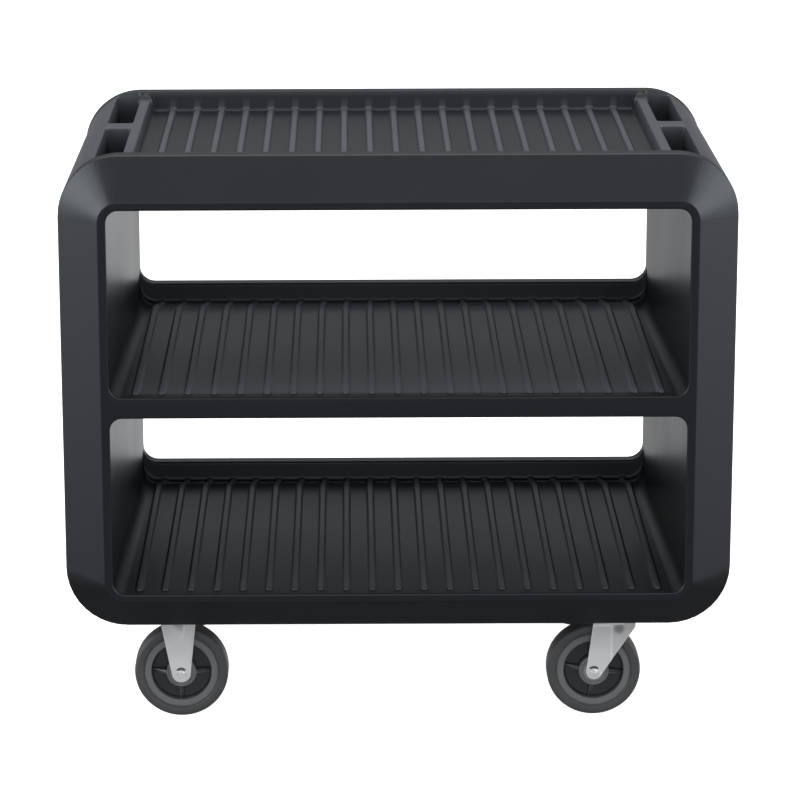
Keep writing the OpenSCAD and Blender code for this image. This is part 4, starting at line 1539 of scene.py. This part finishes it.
class CART_OT_studio(bpy.types.Operator):
    """Sets the floor, the surroundings, the lights and the camera"""

    bl_idname = "cart.studio"
    bl_label = "Studio"

    def execute(self, context):
        studio = context.scene.cart_studio
        self.add_floor(context, studio)
        self.add_surroundings(context, studio)
        self.add_lights(context)
        self.add_camera(context, studio)
        return {"FINISHED"}

    def add_floor(self, context, studio):
        segments, rings = 96, []
        turns = [2 * math.pi * i / segments for i in range(segments)]
        for radius, height in ((0, 0), (1.5, 0), (6, 0), (20, 0), (26, 1.5), (29, 6), (30, 14)):
            rings.append([(radius * math.cos(t), radius * math.sin(t), height) for t in turns])
        points = [p for ring in rings for p in ring]
        mesh = bpy.data.meshes.new("studio_floor")
        mesh.from_pydata(points, [], grid_faces(len(rings), segments, closed=True))
        work = bmesh.new()
        work.from_mesh(mesh)
        bmesh.ops.remove_doubles(work, verts=work.verts, dist=1e-6)
        work.to_mesh(mesh)
        work.free()
        mesh.polygons.foreach_set("use_smooth", [True] * len(mesh.polygons))
        shader = new_shader("pale_floor")
        tint = shader.noise(shader.place(), 0.8, 2.0)
        base = shader.mix(tint, (0.92, 0.92, 0.92, 1.0), (0.94, 0.94, 0.94, 1.0))
        mesh.materials.append(shader.surface({
            "Base Color": base, "Roughness": 0.9, "Specular IOR Level": 0.0,
            "Emission Color": (1.0, 1.0, 1.0, 1.0), "Emission Strength": studio.floor_glow,
        }))
        floor = bpy.data.objects.new("studio_floor", mesh)
        context.scene.collection.objects.link(floor)
        floor.visible_diffuse = False
        floor.visible_glossy = False
        floor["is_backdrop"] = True

    def add_surroundings(self, context, studio):
        world = bpy.data.worlds.new("studio_surroundings")
        context.scene.world = world
        shader = Shader(world)
        direction = shader.add("ShaderNodeTexCoord")
        x, y, z = shader.parts(direction)
        back = y.ramp(0.05, 0.50)
        front = (-1.0 * y).ramp(0.20, 0.65)
        beside = 1.0 - back - front
        above = z.ramp(-0.05, 0.08)
        side_level = blended(z.ramp(-0.33, -0.13), studio.side_shade, studio.side_light)
        walls = blended(x.ramp(-0.14, 0.06), 0.62 * studio.back_light, studio.back_light)
        back_level = blended(z.ramp(-0.50, -0.34), studio.back_low, walls)
        back_level = blended(z.ramp(-0.14, 0.0), back_level, studio.back_shade)
        back_level = blended(z.ramp(0.30, 0.62), back_level, studio.back_high)
        level = (
            back * back_level
            + front * blended(above, studio.front_shade, studio.front_light)
            + beside * side_level
        )
        level = blended(z.ramp(0.62, 0.88), level, studio.overhead_light)
        level = blended(z.ramp(-0.88, -0.60), studio.under_shade, level)
        sky = {"Color": (0.96, 0.985, 1.0, 1.0), "Strength": level}
        light = shader.add("ShaderNodeBackground", {}, sky)
        shader.add("ShaderNodeOutputWorld", {}, {"Surface": light})

    def add_lights(self, context):
        middle, low = Vector((0.0, 0.0, 0.55)), Vector((0.0, 0.0, 0.06))
        rows = (
            ("top_softbox", (0.0, 0.6, 3.6), middle, 2.6, 2.0, 30.0, 180.0),
            ("left_softbox", (-3.0, -0.9, 2.2), middle, 1.6, 2.4, 34.0, 180.0),
            ("right_softbox", (3.0, -0.9, 2.1), middle, 1.6, 2.4, 24.0, 180.0),
            ("low_strip", (0.0, -2.4, 0.09), low, 2.0, 0.10, 0.45, 8.0),
        )
        for name, place, target, width, height, power, spread in rows:
            light = bpy.data.lights.new(name, "AREA")
            light.shape = "RECTANGLE"
            light.size = width
            light.size_y = height
            light.energy = power
            light.spread = math.radians(spread)
            lamp = bpy.data.objects.new(name, light)
            lamp.location = place
            lamp.rotation_euler = (target - Vector(place)).to_track_quat("-Z", "Y").to_euler()
            lamp.visible_glossy = name != "low_strip"
            context.scene.collection.objects.link(lamp)

    def add_camera(self, context, studio):
        data = bpy.data.cameras.new("camera")
        data.lens = studio.lens
        data.sensor_width = 36.0
        data.shift_x = studio.shift
        data.clip_end = 100.0
        camera = bpy.data.objects.new("camera", data)
        turn = Matrix.Rotation(math.pi / 2 - studio.pitch, 4, "X") @ Matrix.Rotation(studio.roll, 4, "Z")
        camera.matrix_world = Matrix.Translation(studio.camera_place) @ turn
        context.scene.collection.objects.link(camera)
        context.scene.camera = camera
        context.scene.view_settings.view_transform = "Standard"
        context.scene.view_settings.look = "None"


class CART_PT_panel(bpy.types.Panel):
    """Lists the cart's pieces"""

    bl_idname = "CART_PT_panel"
    bl_label = "Utility cart"
    bl_space_type = "VIEW_3D"
    bl_region_type = "UI"
    bl_category = "Cart"

    def draw(self, context):
        for operator in OPERATORS:
            self.layout.operator(operator.bl_idname)


OPERATORS = (
    CART_OT_cad_parts, CART_OT_body, CART_OT_forks, CART_OT_swivel_heads, CART_OT_wheels,
    CART_OT_axles, CART_OT_fixings, CART_OT_studio,
)
GROUPS = (CartBodySizes, CartCasterSizes, CartFinishes, CartStudio)


def register():
    for item in (*GROUPS, *OPERATORS, CART_PT_panel):
        bpy.utils.register_class(item)
    bpy.types.Scene.cart_body_sizes = bpy.props.PointerProperty(type=CartBodySizes)
    bpy.types.Scene.cart_caster_sizes = bpy.props.PointerProperty(type=CartCasterSizes)
    bpy.types.Scene.cart_finishes = bpy.props.PointerProperty(type=CartFinishes)
    bpy.types.Scene.cart_studio = bpy.props.PointerProperty(type=CartStudio)


def unregister():
    del bpy.types.Scene.cart_studio
    del bpy.types.Scene.cart_finishes
    del bpy.types.Scene.cart_caster_sizes
    del bpy.types.Scene.cart_body_sizes
    for item in reversed((*GROUPS, *OPERATORS, CART_PT_panel)):
        bpy.utils.unregister_class(item)


def main():
    register()
    for operator in OPERATORS:
        group, name = operator.bl_idname.split(".")
        getattr(getattr(bpy.ops, group), name)()
    boxes = {"cad": CAD_BOX, "visual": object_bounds()}
    {name: [list(corner) for corner in box] for name, box in boxes.items()}


if __name__ == "__main__":
    main()
